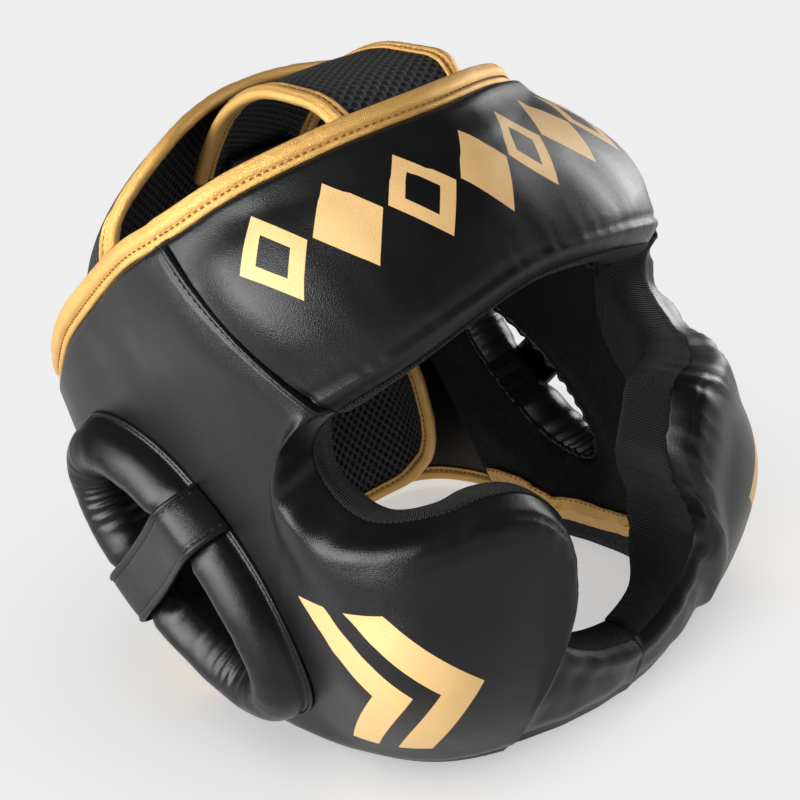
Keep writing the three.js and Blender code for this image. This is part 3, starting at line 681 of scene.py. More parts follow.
def brow_profile(row):
    """Closed line of points round the pad's section."""
    points = []
    for k in range(BROW_OUTER + 1):
        d = brow_distance(row, k)
        points.append(brow_at(row, d, brow_skin(row, d)))
    shares = [k / BROW_NOSE for k in range(1, BROW_NOSE + 1)]
    for f in shares:
        off = brow_skin(row, row.length) * (1 - f) - brow_depth(row, row.length) * f
        points.append(brow_at(row, row.length + 2.2 * sin(pi * f), off))
    for k in range(1, BROW_WALL + 1):
        d = row.length * (1 - k / BROW_WALL)
        points.append(brow_at(row, d, -brow_depth(row, d)))
    for f in shares:
        points.append(brow_at(row, 0, brow_skin(row, 0) * f - brow_depth(row, 0) * (1 - f)))
    return [flip(p, row.side) for p in points]


# Meshes

def laid(p):
    """Place in metres, with the soft top's lean and the forehead's pressed corner."""
    lean = smooth((p.z - 140) / 120)
    press = PRESS * smooth((p.z - 195) / 45) * smooth((PRESS_X * p.x - PRESS_Y * p.y - 55) / 40)
    x = p.x - LEAN * lean - PRESS_X * press
    y = p.y + PRESS_Y * press
    z = p.z - LEAN_RISE * p.x * lean * smooth((40 - p.x) / 80)
    return Vector((x, y - MIDDLE, z)) * MM


def grid(nu, nv, place, chart=None):
    """Grid of nu by nv faces with corner (i, j) at place(i, j), in millimetres, and its chart in metres."""
    bm = bmesh.new()
    bmesh.ops.create_grid(bm, x_segments=nu, y_segments=nv, size=0.5)
    skin = bm.loops.layers.uv.new("skin")
    corner = {v: (round((v.co.x + 0.5) * nu), round((v.co.y + 0.5) * nv)) for v in bm.verts}
    for loop in (loop for face in bm.faces for loop in face.loops):
        u, v = chart(*corner[loop.vert]) if chart else corner[loop.vert]
        loop[skin].uv = (u * MM, v * MM)
    for vert, (i, j) in corner.items():
        vert.co = laid(place(i, j))
    return bm, corner


def close(bm):
    """Joins the meeting edges of a rolled up grid, closes its ends and turns its faces out."""
    bmesh.ops.remove_doubles(bm, verts=bm.verts, dist=1e-6)
    rim = [e for e in bm.edges if e.is_boundary]
    if rim:
        caps = bmesh.ops.holes_fill(bm, edges=rim, sides=0)["faces"]
        skin = bm.loops.layers.uv["skin"]
        for loop in (loop for face in caps for loop in face.loops):
            loop[skin].uv = [value * MM for value in OFF_PRINT]
    bmesh.ops.recalc_face_normals(bm, faces=bm.faces)


def outward(bm, centre=Vector((0, 0, 0.11))):
    """Turns an open sheet so that its faces look away from the hollow."""
    if sum((f.normal.dot(f.calc_center_median() - centre) for f in bm.faces), 0.0) < 0:
        bmesh.ops.reverse_faces(bm, faces=bm.faces)


def mesh_of(name, bm):
    mesh = bpy.data.meshes.new(name)
    bm.to_mesh(mesh)
    bm.free()
    return mesh


def put(name, data):
    obj = bpy.data.objects.new(name, data)
    bpy.context.scene.collection.objects.link(obj)
    return obj


def piece(name, bm, materials, slot, node=None):
    bm.normal_update()
    mesh = mesh_of(name, bm)
    mesh.shade_smooth()
    obj = put(name, mesh)
    for material in materials:
        mesh.materials.append(material)
    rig.ride(obj, "root")
    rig.slot(obj, slot)
    if node:
        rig.replaces(obj, node)
    return obj


def thicken(obj, thick):
    wall = obj.modifiers.new("thickness", "SOLIDIFY")
    wall.thickness = thick * MM
    wall.offset = 0.0


def cloth(name, bm, material, slot, node, thick, flat, **rest):
    """Stretched sheet of even thickness; flat gives its flat size, in metres, from its area."""
    outward(bm)
    area = sum(f.calc_area() for f in bm.faces)
    obj = piece(name, bm, [material], slot, node)
    thicken(obj, thick)
    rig.sheet(obj, flat=flat(area), held="stretched", area=area, **rest)


# Finishes

class Tree:
    """Adds and links shader nodes."""

    def __init__(self, tree):
        self.tree = tree

    def feed(self, socket, value):
        if isinstance(value, bpy.types.NodeSocket):
            self.tree.links.new(value, socket)
        else:
            socket.default_value = value

    def add(self, kind, **values):
        """A node with its settings, and its inputs as values or links."""
        node = self.tree.nodes.new(kind)
        for key, value in values.items():
            if hasattr(node, key):
                setattr(node, key, value)
            else:
                self.feed(node.inputs[key.replace("_", " ")], value)
        return node

    def math(self, operation, *values):
        node = self.add("ShaderNodeMath", operation=operation)
        for socket, value in zip(node.inputs, values):
            self.feed(socket, value)
        return node.outputs[0]

    def ramp(self, value, low, high, start=0.0, end=1.0):
        node = self.add(
            "ShaderNodeMapRange", interpolation_type="SMOOTHSTEP",
            Value=value, From_Min=low, From_Max=high, To_Min=start, To_Max=end,
        )
        return node.outputs["Result"]

    def mix(self, factor, a, b):
        node = self.add("ShaderNodeMix", data_type="RGBA")
        for i, value in ((0, factor), (6, a), (7, b)):
            self.feed(node.inputs[i], value)
        return node.outputs[2]

    def place(self):
        return self.add("ShaderNodeTexCoord").outputs["Object"]

    def noise(self, scale, detail, **values):
        """Factor of a noise over the piece's own space."""
        node = self.add("ShaderNodeTexNoise", Vector=self.place(), Scale=scale, Detail=detail, **values)
        return node.outputs["Fac"]

    def chart(self):
        """Both directions of the skin chart, in metres."""
        chart = self.add("ShaderNodeUVMap", uv_map="skin").outputs["UV"]
        axes = self.add("ShaderNodeSeparateXYZ", Vector=chart)
        return axes.outputs["X"], axes.outputs["Y"]

    def group(self, group, **values):
        return self.add("ShaderNodeGroup", node_tree=group, **values).outputs


class Finish(Tree):
    """A material whose Principled shader takes its normal from a bump."""

    def __init__(self, name, bump, **values):
        self.material = bpy.data.materials.new(name)
        self.material.use_nodes = True
        super().__init__(self.material.node_tree)
        self.bump = self.add("ShaderNodeBump", **bump)
        self.wear(Normal=self.bump.outputs["Normal"], **values)

    def wear(self, **values):
        """Feeds the shader's inputs, and the bump's Height; gives back the material."""
        shader = self.tree.nodes["Principled BSDF"]
        for key, value in values.items():
            node = self.bump if key == "Height" else shader
            self.feed(node.inputs[key.replace("_", " ")], value)
        return self.material


def node_group(name, inputs, outputs):
    """A group's tree, what it is given and what it gives, all plain numbers."""
    group = bpy.data.node_groups.new(name, "ShaderNodeTree")
    for label, value in inputs.items():
        socket = group.interface.new_socket(label, in_out="INPUT", socket_type="NodeSocketFloat")
        socket.default_value = value
    for label in outputs:
        group.interface.new_socket(label, in_out="OUTPUT", socket_type="NodeSocketFloat")
    tree = Tree(group)
    return tree, tree.add("NodeGroupInput").outputs, tree.add("NodeGroupOutput").inputs


def leather_grain_group():
    """Pebbled grain with fine creases: height for a bump, and slow changes of gloss and tone."""
    tree, given, out = node_group(
        "leather_grain", dict(Pebble=900.0, Crease=120.0), ("Height", "Gloss", "Tone"),
    )
    pebble = tree.add(
        "ShaderNodeTexVoronoi", feature="DISTANCE_TO_EDGE", Vector=tree.place(), Scale=given["Pebble"],
    )
    cell = tree.ramp(pebble.outputs["Distance"], 0.0, 0.28)
    crease = tree.noise(given["Crease"], 6.0, Roughness=0.62)
    tree.feed(out["Height"], tree.math("MULTIPLY_ADD", cell, 0.55, crease))
    tree.feed(out["Gloss"], tree.ramp(tree.noise(22.0, 3.0), 0.3, 0.7))
    tree.feed(out["Tone"], tree.noise(55.0, 4.0))
    return tree.tree


def net_group():
    """Rows of oval holes of a spacer mesh, every other row shifted by half, from the skin chart."""
    tree, given, out = node_group("net_holes", dict(Pitch=0.0034, Stretch=1.0), ("Hole", "Height"))
    x, y = tree.chart()
    across = tree.math("DIVIDE", x, given["Pitch"])
    down = tree.math("DIVIDE", y, tree.math("MULTIPLY", given["Pitch"], given["Stretch"]))
    rounds = []
    for shift in (0.0, 0.5):
        u, v = (
            tree.math("SUBTRACT", tree.math("FRACT", tree.math("ADD", way, shift)), 0.5)
            for way in (across, down)
        )
        rounds.append(tree.math("SQRT", tree.math("MULTIPLY_ADD", u, u, tree.math("MULTIPLY", v, v))))
    near = tree.math("MINIMUM", *rounds)
    tree.feed(out["Hole"], tree.ramp(near, 0.20, 0.28, 1.0, 0.0))
    tree.feed(out["Height"], tree.ramp(near, 0.15, 0.36))
    return tree.tree


def rib_group():
    """Ribs of a stretch knit across the skin chart's first axis, with a little unevenness; the lining's colour follows
    Rib too, as painted shade in the grooves and a painted highlight on the crests.
    """
    tree, given, out = node_group("knit_ribs", dict(Pitch=0.0011), ("Rib", "Fuzz"))
    fuzz = tree.noise(700.0, 4.0)
    turns = tree.math("DIVIDE", tree.chart()[0], given["Pitch"])
    wavy = tree.math("MULTIPLY_ADD", fuzz, 0.25, turns)
    wave = tree.math("SINE", tree.math("MULTIPLY", wavy, 2 * pi))
    tree.feed(out["Rib"], tree.math("MULTIPLY_ADD", wave, 0.5, 0.5))
    tree.feed(out["Fuzz"], fuzz)
    return tree.tree


GRAIN = leather_grain_group()
NET = net_group()
RIBS = rib_group()
BLACK = (0.0025, 0.0025, 0.0027, 1), (0.0055, 0.0055, 0.0058, 1)
PRINT = (0.55, 0.345, 0.138, 1), (0.64, 0.42, 0.185, 1)
PRINT_METAL = PRINT_ROUGH = 0.12


def leather(name, motif=None, rough=(0.30, 0.42)):
    skin = Finish(name, dict(Strength=0.17, Distance=0.0006), Specular_IOR_Level=0.3)
    grain = skin.group(GRAIN, Pebble=1150.0, Crease=200.0)
    colour = skin.mix(grain["Tone"], *BLACK)
    gloss = skin.ramp(grain["Gloss"], 0.0, 1.0, *rough)
    if motif:
        mask = motif(skin)
        colour = skin.mix(mask, colour, skin.mix(grain["Tone"], *PRINT))
        gloss = skin.math("MULTIPLY_ADD", mask, PRINT_ROUGH, gloss)
        skin.wear(Metallic=skin.math("MULTIPLY", mask, PRINT_METAL))
    return skin.wear(Base_Color=colour, Roughness=gloss, Height=grain["Height"])


def lozenge_row(tree):
    """Row of pointed lozenges along the middle of the forehead, every other one open."""
    x, y = tree.chart()
    pitch, high, middle, reach = 0.029, 0.019, 0.040, 0.101
    turns = tree.math("DIVIDE", x, pitch)
    share = tree.math("SUBTRACT", tree.math("FRACT", tree.math("ADD", turns, 0.5)), 0.5)
    level = tree.math("DIVIDE", tree.math("SUBTRACT", y, middle), high)
    size = tree.math("MULTIPLY_ADD", tree.math("ABSOLUTE", share), 2.12, tree.math("ABSOLUTE", level))
    filled = tree.ramp(size, 0.975, 0.995, 1.0, 0.0)
    odd = tree.math("PINGPONG", tree.math("ROUND", turns), 1.0)
    hollow = tree.math("MULTIPLY", tree.ramp(size, 0.50, 0.52, 1.0, 0.0), odd)
    inside = tree.ramp(tree.math("ABSOLUTE", x), reach, reach + 0.0005, 1.0, 0.0)
    return tree.math("MULTIPLY", tree.math("SUBTRACT", filled, hollow), inside)


def chevron_pair(tree):
    """Two straight chevrons on the cheek, pointing forward."""
    x, y = tree.chart()
    tip, level, slope, tall, wide, second, fade = 0.060, 0.056, 0.62, 0.036, 0.0125, 0.0205, 0.0003
    away = tree.math("ABSOLUTE", tree.math("SUBTRACT", y, level))
    run = tree.math("SUBTRACT", tree.math("SUBTRACT", x, tip), tree.math("MULTIPLY", away, slope))
    bars = []
    for start in (0.0, second):
        enter = tree.ramp(run, start, start + fade)
        leave = tree.ramp(run, start + wide, start + wide + fade, 1.0, 0.0)
        bars.append(tree.math("MULTIPLY", enter, leave))
    short = tree.ramp(away, tall, tall + fade, 1.0, 0.0)
    return tree.math("MULTIPLY", tree.math("ADD", *bars), short)


def gold_tape(name):
    tape = Finish(name, dict(Strength=0.5, Distance=0.0008), Specular_IOR_Level=0.5)
    grain = tape.group(GRAIN, Pebble=1400.0, Crease=260.0)
    return tape.wear(
        Base_Color=tape.mix(grain["Tone"], (0.52, 0.28, 0.068, 1), (0.77, 0.46, 0.15, 1)),
        Roughness=tape.ramp(grain["Gloss"], 0.0, 1.0, 0.36, 0.50),
        Metallic=tape.ramp(grain["Tone"], 0.0, 1.0, 0.45, 0.7),
        Height=grain["Height"],
    )


def spacer_mesh(name):
    knit = Finish(name, dict(Strength=0.9, Distance=0.0011), Specular_IOR_Level=0.35)
    net = knit.group(NET, Pitch=0.0042, Stretch=1.45)
    fuzz = knit.noise(900.0, 3.0)
    yarn = knit.mix(fuzz, (0.010, 0.010, 0.0105, 1), (0.040, 0.040, 0.042, 1))
    return knit.wear(
        Base_Color=knit.mix(net["Hole"], yarn, (0.0025, 0.0025, 0.003, 1)),
        Roughness=knit.ramp(net["Hole"], 0.0, 1.0, 0.62, 0.95),
        Height=knit.math("MULTIPLY_ADD", fuzz, 0.18, net["Height"]),
    )


def rib_cloth(name):
    knit = Finish(
        name, dict(Strength=1.0, Distance=0.0007),
        Specular_IOR_Level=0.18, Sheen_Weight=0.05, Sheen_Roughness=0.5,
    )
    ribs = knit.group(RIBS, Pitch=0.0011)
    return knit.wear(
        # base colour follows the rib height: painted shade in the grooves between ribs, painted highlight on their
        # crests
        Base_Color=knit.mix(ribs["Rib"], (0.0012, 0.0012, 0.0013, 1), (0.0125, 0.0125, 0.013, 1)),
        Roughness=knit.ramp(ribs["Fuzz"], 0.3, 0.7, 0.7, 0.9),
        Height=ribs["Rib"],
    )


def plain_lining(name):
    weave = Finish(name, dict(Strength=0.35, Distance=0.0005), Specular_IOR_Level=0.15)
    fine = weave.noise(420.0, 5.0)
    return weave.wear(
        Base_Color=weave.mix(weave.noise(30.0, 3.0), (0.002, 0.002, 0.0022, 1), (0.0055, 0.0055, 0.0056, 1)),
        Roughness=weave.ramp(fine, 0.3, 0.7, 0.62, 0.85),
        Height=fine,
    )


def thread(name, dark, light):
    yarn = Finish(name, dict(Strength=0.5, Distance=0.0002), Specular_IOR_Level=0.15)
    ply = yarn.noise(2600.0, 2.0)
    return yarn.wear(
        Base_Color=yarn.mix(ply, dark, light), Roughness=yarn.ramp(ply, 0.3, 0.7, 0.65, 0.85), Height=ply,
    )


LEATHER = leather("black_leather")
CHEEK_LEATHER = leather("cheek_leather", chevron_pair)
BROW_LEATHER = leather("brow_leather", lozenge_row)
RING_LEATHER = leather("ring_leather", rough=(0.22, 0.33))
GOLD = gold_tape("gold_tape")
NET_CLOTH = spacer_mesh("spacer_mesh")
RIB_CLOTH = rib_cloth("ribbed_lining")
INNER_CLOTH = plain_lining("inner_lining")
BLACK_THREAD = thread("black_thread", (0.004, 0.004, 0.004, 1), (0.022, 0.022, 0.022, 1))
GOLD_THREAD = thread("gold_thread", (0.10, 0.05, 0.012, 1), (0.26, 0.14, 0.035, 1))
stitches = {"black": [], "gold": []}


def sew(kind, line):
    """Keeps a row of stitches along a line of (point, normal), in millimetres."""
    colour, pitch, long, wide = STITCH[kind]
    rest = pitch / 2
    for (p, n), (q, m) in zip(line, line[1:]):
        step_long = (q - p).length
        while rest < step_long:
            f = rest / step_long
            run, normal = (q - p).normalized(), n.lerp(m, f).normalized()
            stitches[colour].append((p.lerp(q, f), run, normal, long, wide))
            rest += pitch
        rest -= step_long


# Pads

def pad(name, profiles, chart, skin, inside, node):
    """Leather skin over closed profiles, with cloth on the faces of the rows inside."""
    loop = len(profiles[0]) - 1
    bm, corner = grid(len(profiles) - 1, loop, lambda i, j: profiles[i][j % loop], chart)
    for face in bm.faces:
        face.material_index = int(min(corner[v][1] for v in face.verts) in inside)
    close(bm)
    return piece(name, bm, [skin, INNER_CLOTH], "black_leather", node)


def ear_spot(p, q, off, side):
    """Point over the pad, from distances along and across the ear ring's long axis."""
    y, z = EAR_Y + p * EAR_COS + q * EAR_SIN, EAR_Z + p * EAR_SIN - q * EAR_COS
    return flip(at(turn_at(y, z), z, off), side)


def ear_line(angle, w):
    """Distances along and across the ring's long axis, w out from the tube line."""
    c, s = cos(angle), sin(angle)
    nx, ny = c / EAR_LONG, s / EAR_SHORT
    size = hypot(nx, ny)
    return EAR_LONG * c + w * nx / size, EAR_SHORT * s + w * ny / size


def ear_plug(side):
    """Oval plug that cuts the ear hole."""
    count, layers, step_deep = 60, 4, 14

    def place(i, j):
        return ear_spot(*ear_line(2 * pi * i / count, -EAR_TUBE + 2.7), step_deep - j * step_deep, side)

    bm, _ = grid(count, layers, place)
    close(bm)
    return put("ear_plug", mesh_of("ear_plug", bm))


def side_pad(label, side):
    stations = SIDE_STATIONS[side]

    def chart(i, j):
        if j > OUTER:
            return OFF_PRINT
        turn, z = side_place(stations[i], side_distance(stations[i], j))
        return turn * TURN_RUN, z

    obj = pad(
        f"side_pad_leather_{label}", [[flip(p, side) for p in side_profile(row)] for row in stations],
        chart, CHEEK_LEATHER, range(OUTER + 2, SIDE_LOOP - NOSE + 1), f"side_pad_{label}",
    )
    plug = ear_plug(side)
    hole = obj.modifiers.new("ear_hole", "BOOLEAN")
    hole.operation = "DIFFERENCE"
    hole.solver = "EXACT"
    hole.object = plug
    view = bpy.context.evaluated_depsgraph_get()
    mesh = bpy.data.meshes.new_from_object(obj.evaluated_get(view))
    obj.modifiers.clear()
    obj.data = mesh
    bpy.data.objects.remove(plug)
    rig.padded(obj, fill=0.9)
    seam = []
    for row in stations:
        spot = side_place(row, SEAM_SEWN)
        if SEAM_ROW + 0.35 < row.s < FACE_ROW + 0.05 and from_edge(*spot) >= BIND_WIDTH + 4:
            p = at(*spot, side_skin(row, SEAM_SEWN) + 0.3)
            seam.append((flip(p, side), flip(at(*spot, 10) - at(*spot, 0), side)))
    sew("temple", seam)


def forehead_pad():
    run = lengths([flip(form(*brow_place(row, row.length / 2)), row.side) for row in BROW_STATIONS])

    def chart(i, j):
        if j > BROW_OUTER:
            return OFF_PRINT
        return run[i] - run[-1] / 2, brow_distance(BROW_STATIONS[i], j)

    obj = pad(
        "forehead_pad_leather", [brow_profile(row) for row in BROW_STATIONS], chart, BROW_LEATHER,
        range(BROW_OUTER + BROW_NOSE, BROW_LOOP - BROW_NOSE), "forehead_pad",
    )
    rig.padded(obj, fill=0.92)


# Linings: a ribbed strip from under the leather's edge, round the edge and in along the pad

def lining(name, rows, spot, run, rib_step, normals, node, pad_node):
    bm, _ = grid(
        len(rows) - 1, LINING_STEPS,
        lambda i, j: spot(rows[i], j / LINING_STEPS), lambda i, j: (run[i], j * rib_step),
    )
    long = run[-1] * MM
    cloth(
        name, bm, RIB_CLOTH, "black_lining", node, LINING,
        lambda area: (area / long * LINING_EASE, long), rests_on=[pad_node],
    )
    sew("lining", [(spot(row, 0), normal) for row, normal in zip(rows, normals)])


def round_edge(g, bulge):
    """How far the lining stands out from the pad's edge, g from 0 under the leather to 1 inside."""
    return bulge * sin(pi * (0.12 + 0.88 * g)) - LINING_TUCK * (1 - g)


def face_lining(label, side):
    rows = [row for row in SIDE_STATIONS[side] if row.s >= FACE_ROW]

    def spot(row, f):
        full = along(LEFT_LINING, row.s - FACE_ROW)
        reach, plump = (full.reach, full.plump) if side > 0 else (-row.back, 0.0)
        if f < LINING_NOSE:
            g = f / LINING_NOSE
            d = -round_edge(g, 2.6) - reach * smooth(g)
            off = (side_skin(row, 0) - LINING_TUCK) * (1 - g) - (side_depth(row, 0) + LINING_TUCK) * g
            off -= plump * smooth((g - 0.3) / 0.7)
        else:
            back = (f - LINING_NOSE) / (1 - LINING_NOSE)
            d = back * LINING_FACE * min(1, 0.5 * row.length / LINING_FACE) - reach * (1 - back)
            off = -side_depth(row, max(d, 0)) - 0.9 - plump * (1 - smooth(back))
        pinch = sum(bell(row.s - s, 0.05) for s in LINING_PINCHES) * smooth((f - 0.12) / 0.2)
        return flip(side_at(row, d, off - pinch), side)

    lining(
        f"face_lining_knit_{label}", rows, spot, lengths([row.edge for row in rows]), 2.4,
        [flip(at(row.turn, row.z, 8) - row.edge, side) for row in rows],
        f"face_lining_{label}", f"side_pad_{label}",
    )


def brow_lining():
    rows = BROW_STATIONS

    def spot(row, f):
        if f < LINING_NOSE:
            g = f / LINING_NOSE
            d = row.length + round_edge(g, 3.0)
            off = (brow_skin(row, row.length) - LINING_TUCK) * (1 - g)
            off -= (brow_depth(row, row.length) + LINING_TUCK) * g
        else:
            d = row.length - (f - LINING_NOSE) / (1 - LINING_NOSE) * LINING_BROW
            off = -brow_depth(row, d) - 0.9
        return flip(brow_at(row, d, off), row.side)

    lining(
        "brow_lining_knit", rows, spot, lengths([spot(row, 8 / LINING_STEPS) for row in rows]), 2.2,
        [flip(at(row.low, row.lowz, 8) - form(row.low, row.lowz), row.side) for row in rows],
        "brow_lining", "forehead_pad",
    )


# Ear rings and straps

def ring_profile():
    """Line round the ring's section: (distance from the tube line, height over the pad, gather)."""
    points = [(15.2, 0.2, 0), (15.0, 1.2, 0), (14.2, 1.7, 0), (13.3, 1.5, 0)]
    for k in range(23):
        a = radians(-6 + 186 * k / 22)
        bulge = 1 - 0.06 * abs(sin(2 * a))
        high = EAR_CORE + (EAR_PROUD - EAR_CORE) * sin(a) * bulge
        points.append((EAR_TUBE * cos(a) * bulge, high, smooth((k - 9) / 9)))
    for f in (k / 8 for k in range(1, 9)):
        points.append((-EAR_TUBE + 0.9 * sin(pi * f), EAR_CORE + (EAR_DEPTH - EAR_CORE) * f, 1.0))
    points += [(-EAR_TUBE + 2.4, EAR_DEPTH, 0.5), (-EAR_TUBE + 2.4, -6.0, 0)]
    return points + [(w, -0.8, 0) for w in (-4.0, 6.0, 13.0)]


def strap_dip(p, q):
    """How far the strap pulls the tube in."""
    middle = STRAP_UP + STRAP_LEAN * q
    return 1 - smooth((abs(p - middle) - STRAP_WIDTH / 2) / 5)


def ear_ring(label, side):
    profile = ring_profile()
    arounds = [2 * pi * i / RING_STEPS for i in range(RING_STEPS)]
    turns = [a - 0.22 * sin(2 * a) for a in arounds]

    def place(i, j):
        around = 2 * pi * i / RING_STEPS
        w, off, gather = profile[j % len(profile)]
        phase = RING_FOLDS * i / RING_STEPS + 1.3 * round_ripple(around, 2.7, 2.2)
        crest = abs(sin(pi * phase)) ** 0.7 - 0.6
        w += gather * 3.2 * crest * (0.65 + 0.9 * round_ripple(around, 3.7, 5.5))
        off += 0.9 * gather * crest
        p, q = ear_line(turns[i % RING_STEPS], w)
        top = smooth((off - 4) / 10)
        off -= 1.6 * strap_dip(p, q) * top
        off += 0.5 * round_ripple(around, 4.8, 3.3 + j / 9) * top
        return ear_spot(p, q, off, side)

    bm, _ = grid(RING_STEPS, len(profile), place, lambda i, j: (i * 2.0, j * 2.0))
    close(bm)
    obj = piece(f"ear_ring_leather_{label}", bm, [RING_LEATHER], "black_leather", f"ear_ring_{label}")
    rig.padded(obj, fill=0.95)
    line = []
    for turn in turns + turns[:1]:
        p, q = ear_line(turn, 14.0)
        spot = ear_spot(p, q, 1.75, side)
        line.append((spot, ear_spot(p, q, 9, side) - spot))
    sew("ring", line)


def strap_path():
    """Line over the ring: (distance across the ring, height over the pad)."""
    s, w, h = EAR_SHORT, EAR_TUBE, EAR_PROUD - 0.7
    half = [
        (s + w + 1.2, 1.0), (s + w + 0.6, 5.0), (s + w - 1.6, 11.0), (s + w - 5.6, h - 1.2),
        (s + 2, h + 0.4), (s - 7, h + 0.2), (s - 18, h - 0.4), (0, h - 0.6),
    ]
    return table("q off", *half, *((-q, off) for q, off in half[-2::-1]))


def ear_strap(label, side):
    path = strap_path()
    last = len(path) - 1

    def spot(x, i, lift):
        t = last * i / STRAP_LONG
        row = along(path, t)
        a, b = (along(path, min(max(t + step, 0), last - 0.001)) for step in (-0.05, 0.05))
        size = hypot(b.q - a.q, b.off - a.off)
        nq, no = (b.off - a.off) / size, (a.q - b.q) / size
        p = x + STRAP_UP + STRAP_LEAN * row.q
        narrow = EAR_SHORT * (1 - sqrt(1 - (p / EAR_LONG) ** 2))
        q = row.q - narrow * row.q / (EAR_SHORT + EAR_TUBE)
        return ear_spot(p, q + nq * lift, row.off + no * lift, side)

    def across_at(j):
        """Distance across the strap and height over its underside, round its section."""
        f, upper = j / STRAP_ACROSS, 0.6
        if f > upper:
            return (0.5 - (f - upper) / (1 - upper)) * STRAP_WIDTH, 0.0
        x = (f / upper - 0.5) * STRAP_WIDTH
        edge = max(abs(x) - STRAP_WIDTH / 2 + 1.6, 0) / 1.6
        lift = STRAP * (0.45 + 0.55 * sqrt(max(1 - edge * edge, 0))) - 0.6 * bell(abs(x) - STRAP_SEWN, 0.8)
        return x, lift + 0.7 * bell(abs(x) - 11.3, 1.4)

    def place(i, j):
        x, lift = across_at(j % STRAP_ACROSS)
        return spot(x, i, lift)

    bm, _ = grid(STRAP_LONG, STRAP_ACROSS, place, lambda i, j: (i * 1.4, j * 2.0))
    close(bm)
    piece(f"ear_strap_leather_{label}", bm, [LEATHER], "black_leather", f"ear_strap_{label}")
    for x in (-STRAP_SEWN, STRAP_SEWN):
        line = []
        for i in range(2, STRAP_LONG - 1):
            low = spot(x, i, STRAP - 0.45)
            line.append((low, spot(x, i, STRAP + 4) - low))
        sew("strap", line)


# Bindings

def tape_profile(width, half):
    """Line round a folded tape: (distance into the panel, height from its middle)."""
    far, nose, leg = half + TAPE, TAPE + 1.0, 14
    seam = width * TAPE_SEAM
    points = []
    for k in range(leg + 1):
        x = width * (1 - k / leg)
        roll = 0.9 * sin(pi * min(x / seam, 1)) + 0.25 * sin(pi * max(x - seam, 0) / (width - seam))
        edge = 0.5 * smooth((x - width + 0.8) / 0.8)
        points.append((x, far + roll - edge - 0.75 * bell(x - seam, 0.7)))
    for a in (pi * k / 8 for k in range(1, 8)):
        points.append((-nose * sin(a), far * cos(a)))
    for k in range(leg + 1):
        x = width * k / leg
        points.append((x, -far - 0.5 * sin(pi * min(x / seam, 1)) + 0.5 * bell(x - seam, 0.7)))
    return points + [(width, -half), (0, -half), (-nose + TAPE, 0), (0, half), (width, half)]


def binding(name, rows, width, half, node):
    """Folded tape along rows of (point, direction into the panel, normal)."""
    profile = tape_profile(width, half)
    run = lengths([row[0] for row in rows])

    def place(i, j):
        p, into, normal = rows[i]
        x, h = profile[j % len(profile)]
        pleat = TAPE_GATHER * (ripple(run[i] / 4.2, x / 14, 4.4) + 0.6 * ripple(run[i] / 1.9, x / 9, 7.7))
        return p + into * x + normal * (h + pleat * (1 if h > 0 else -1) * smooth((x + 3) / 3))

    bm, _ = grid(len(rows) - 1, len(profile), place, lambda i, j: (run[i], j * 1.5))
    close(bm)
    piece(name, bm, [GOLD], "gold_tape", node)
    for face in (1, -1):
        sew("tape", [
            (p + into * (width * TAPE_SEAM) + normal * face * (half + TAPE - 0.2), normal * face)
            for p, into, normal in rows[1:-1]
        ])


def edge_spot(w, off):
    """Place by the upper edge, w from 0 at the right rear corner to EDGE_END at the left one."""
    row = along(EDGE_LINE, min(w, EDGE_END - w))
    return flip(at(row.turn, row.z, off), -1 if w <= EDGE_END / 2 else 1)


def top_binding():
    count, reach = 300, 3
    places = spread(lambda w: edge_spot(w, 0), 0, EDGE_END, count)
    spots = []
    for w in places:
        step_deep = rebate_depth(min(w, EDGE_END - w))
        spots.append(edge_spot(w, -(TOP_EDGE + TOP_REBATE) / 2 - step_deep + TOP_REBATE))
    rows = []
    for i, w in enumerate(places):
        normal = (edge_spot(w, 0) - spots[i]).normalized()
        run = (spots[min(i + reach, count)] - spots[max(i - reach, 0)]).normalized()
        into = run.cross(normal).normalized()
        if into.z > 0:
            into.negate()
        rows.append((spots[i], into, normal))
    binding("top_binding_tape", rows, BIND_WIDTH, (TOP_EDGE - TOP_REBATE) / 2 + 0.1, "top_binding")


def sheet_rows(spot, line, inward, count):
    """Tape rows along a border of a sheet: line(f) gives its (a, b), inward(a, b) a place further in."""
    rows = []
    for i in range(count + 1):
        a, b = line(i / count)
        p = spot(a, b)
        before, after = line(max(i - 1, 0) / count), line(min(i + 1, count) / count)
        run = (spot(*after) - spot(*before)).normalized()
        into = spot(*inward(a, b)) - p
        into = (into - run * into.dot(run)).normalized()
        normal = run.cross(into).normalized()
        if normal.dot(p - Vector((0, 0, 100))) < 0:
            normal.negate()
        rows.append((p, into, normal))
    return rows


# Panels

def crown_spot(a, b):
    """Place on the crown panel: a from 0 at the forehead to 1 at the tail, b from -1 to 1 across."""
    depth = TOP_EDGE + 4.8 + MESH / 2
    lines = [
        flip(at(abs(b) * CROWN_SPREAD, z - 2.5 * b * b, -depth), -1 if b < 0 else 1) for z in CROWN_FRONT
    ] + [Vector((row["half"] * b, row["y"], row["z"] - row["droop"] * b * b)) for row in CROWN]
    last = len(lines) - 1
    t = a * last
    i = min(int(t), last - 1)
    return between(lines[max(i - 1, 0)], lines[i], lines[i + 1], lines[min(i + 2, last)], t - i)


def rear_spot(a, b):
    """Place on the rear panel: a from 0 at the right to 1 at the left, b from 0 at the arch to 1 below."""
    t = a * REAR_END
    end = min(t, REAR_END - t)
    row = along(REAR, end)
    mid = Vector((row.x, row.y, row.z)).lerp(at(row.lowturn, row.lowz, -REAR_DEPTH), b)
    out = Vector((mid.x * 0.6, mid.y, (mid.z - 110) * 0.8)).normalized()
    mid.x += 11 * smooth(1 - end) * smooth(b / 0.3)
    return flip(mid + out * row.bulge * sin(pi * b), 1 if t > REAR_END / 2 else -1)


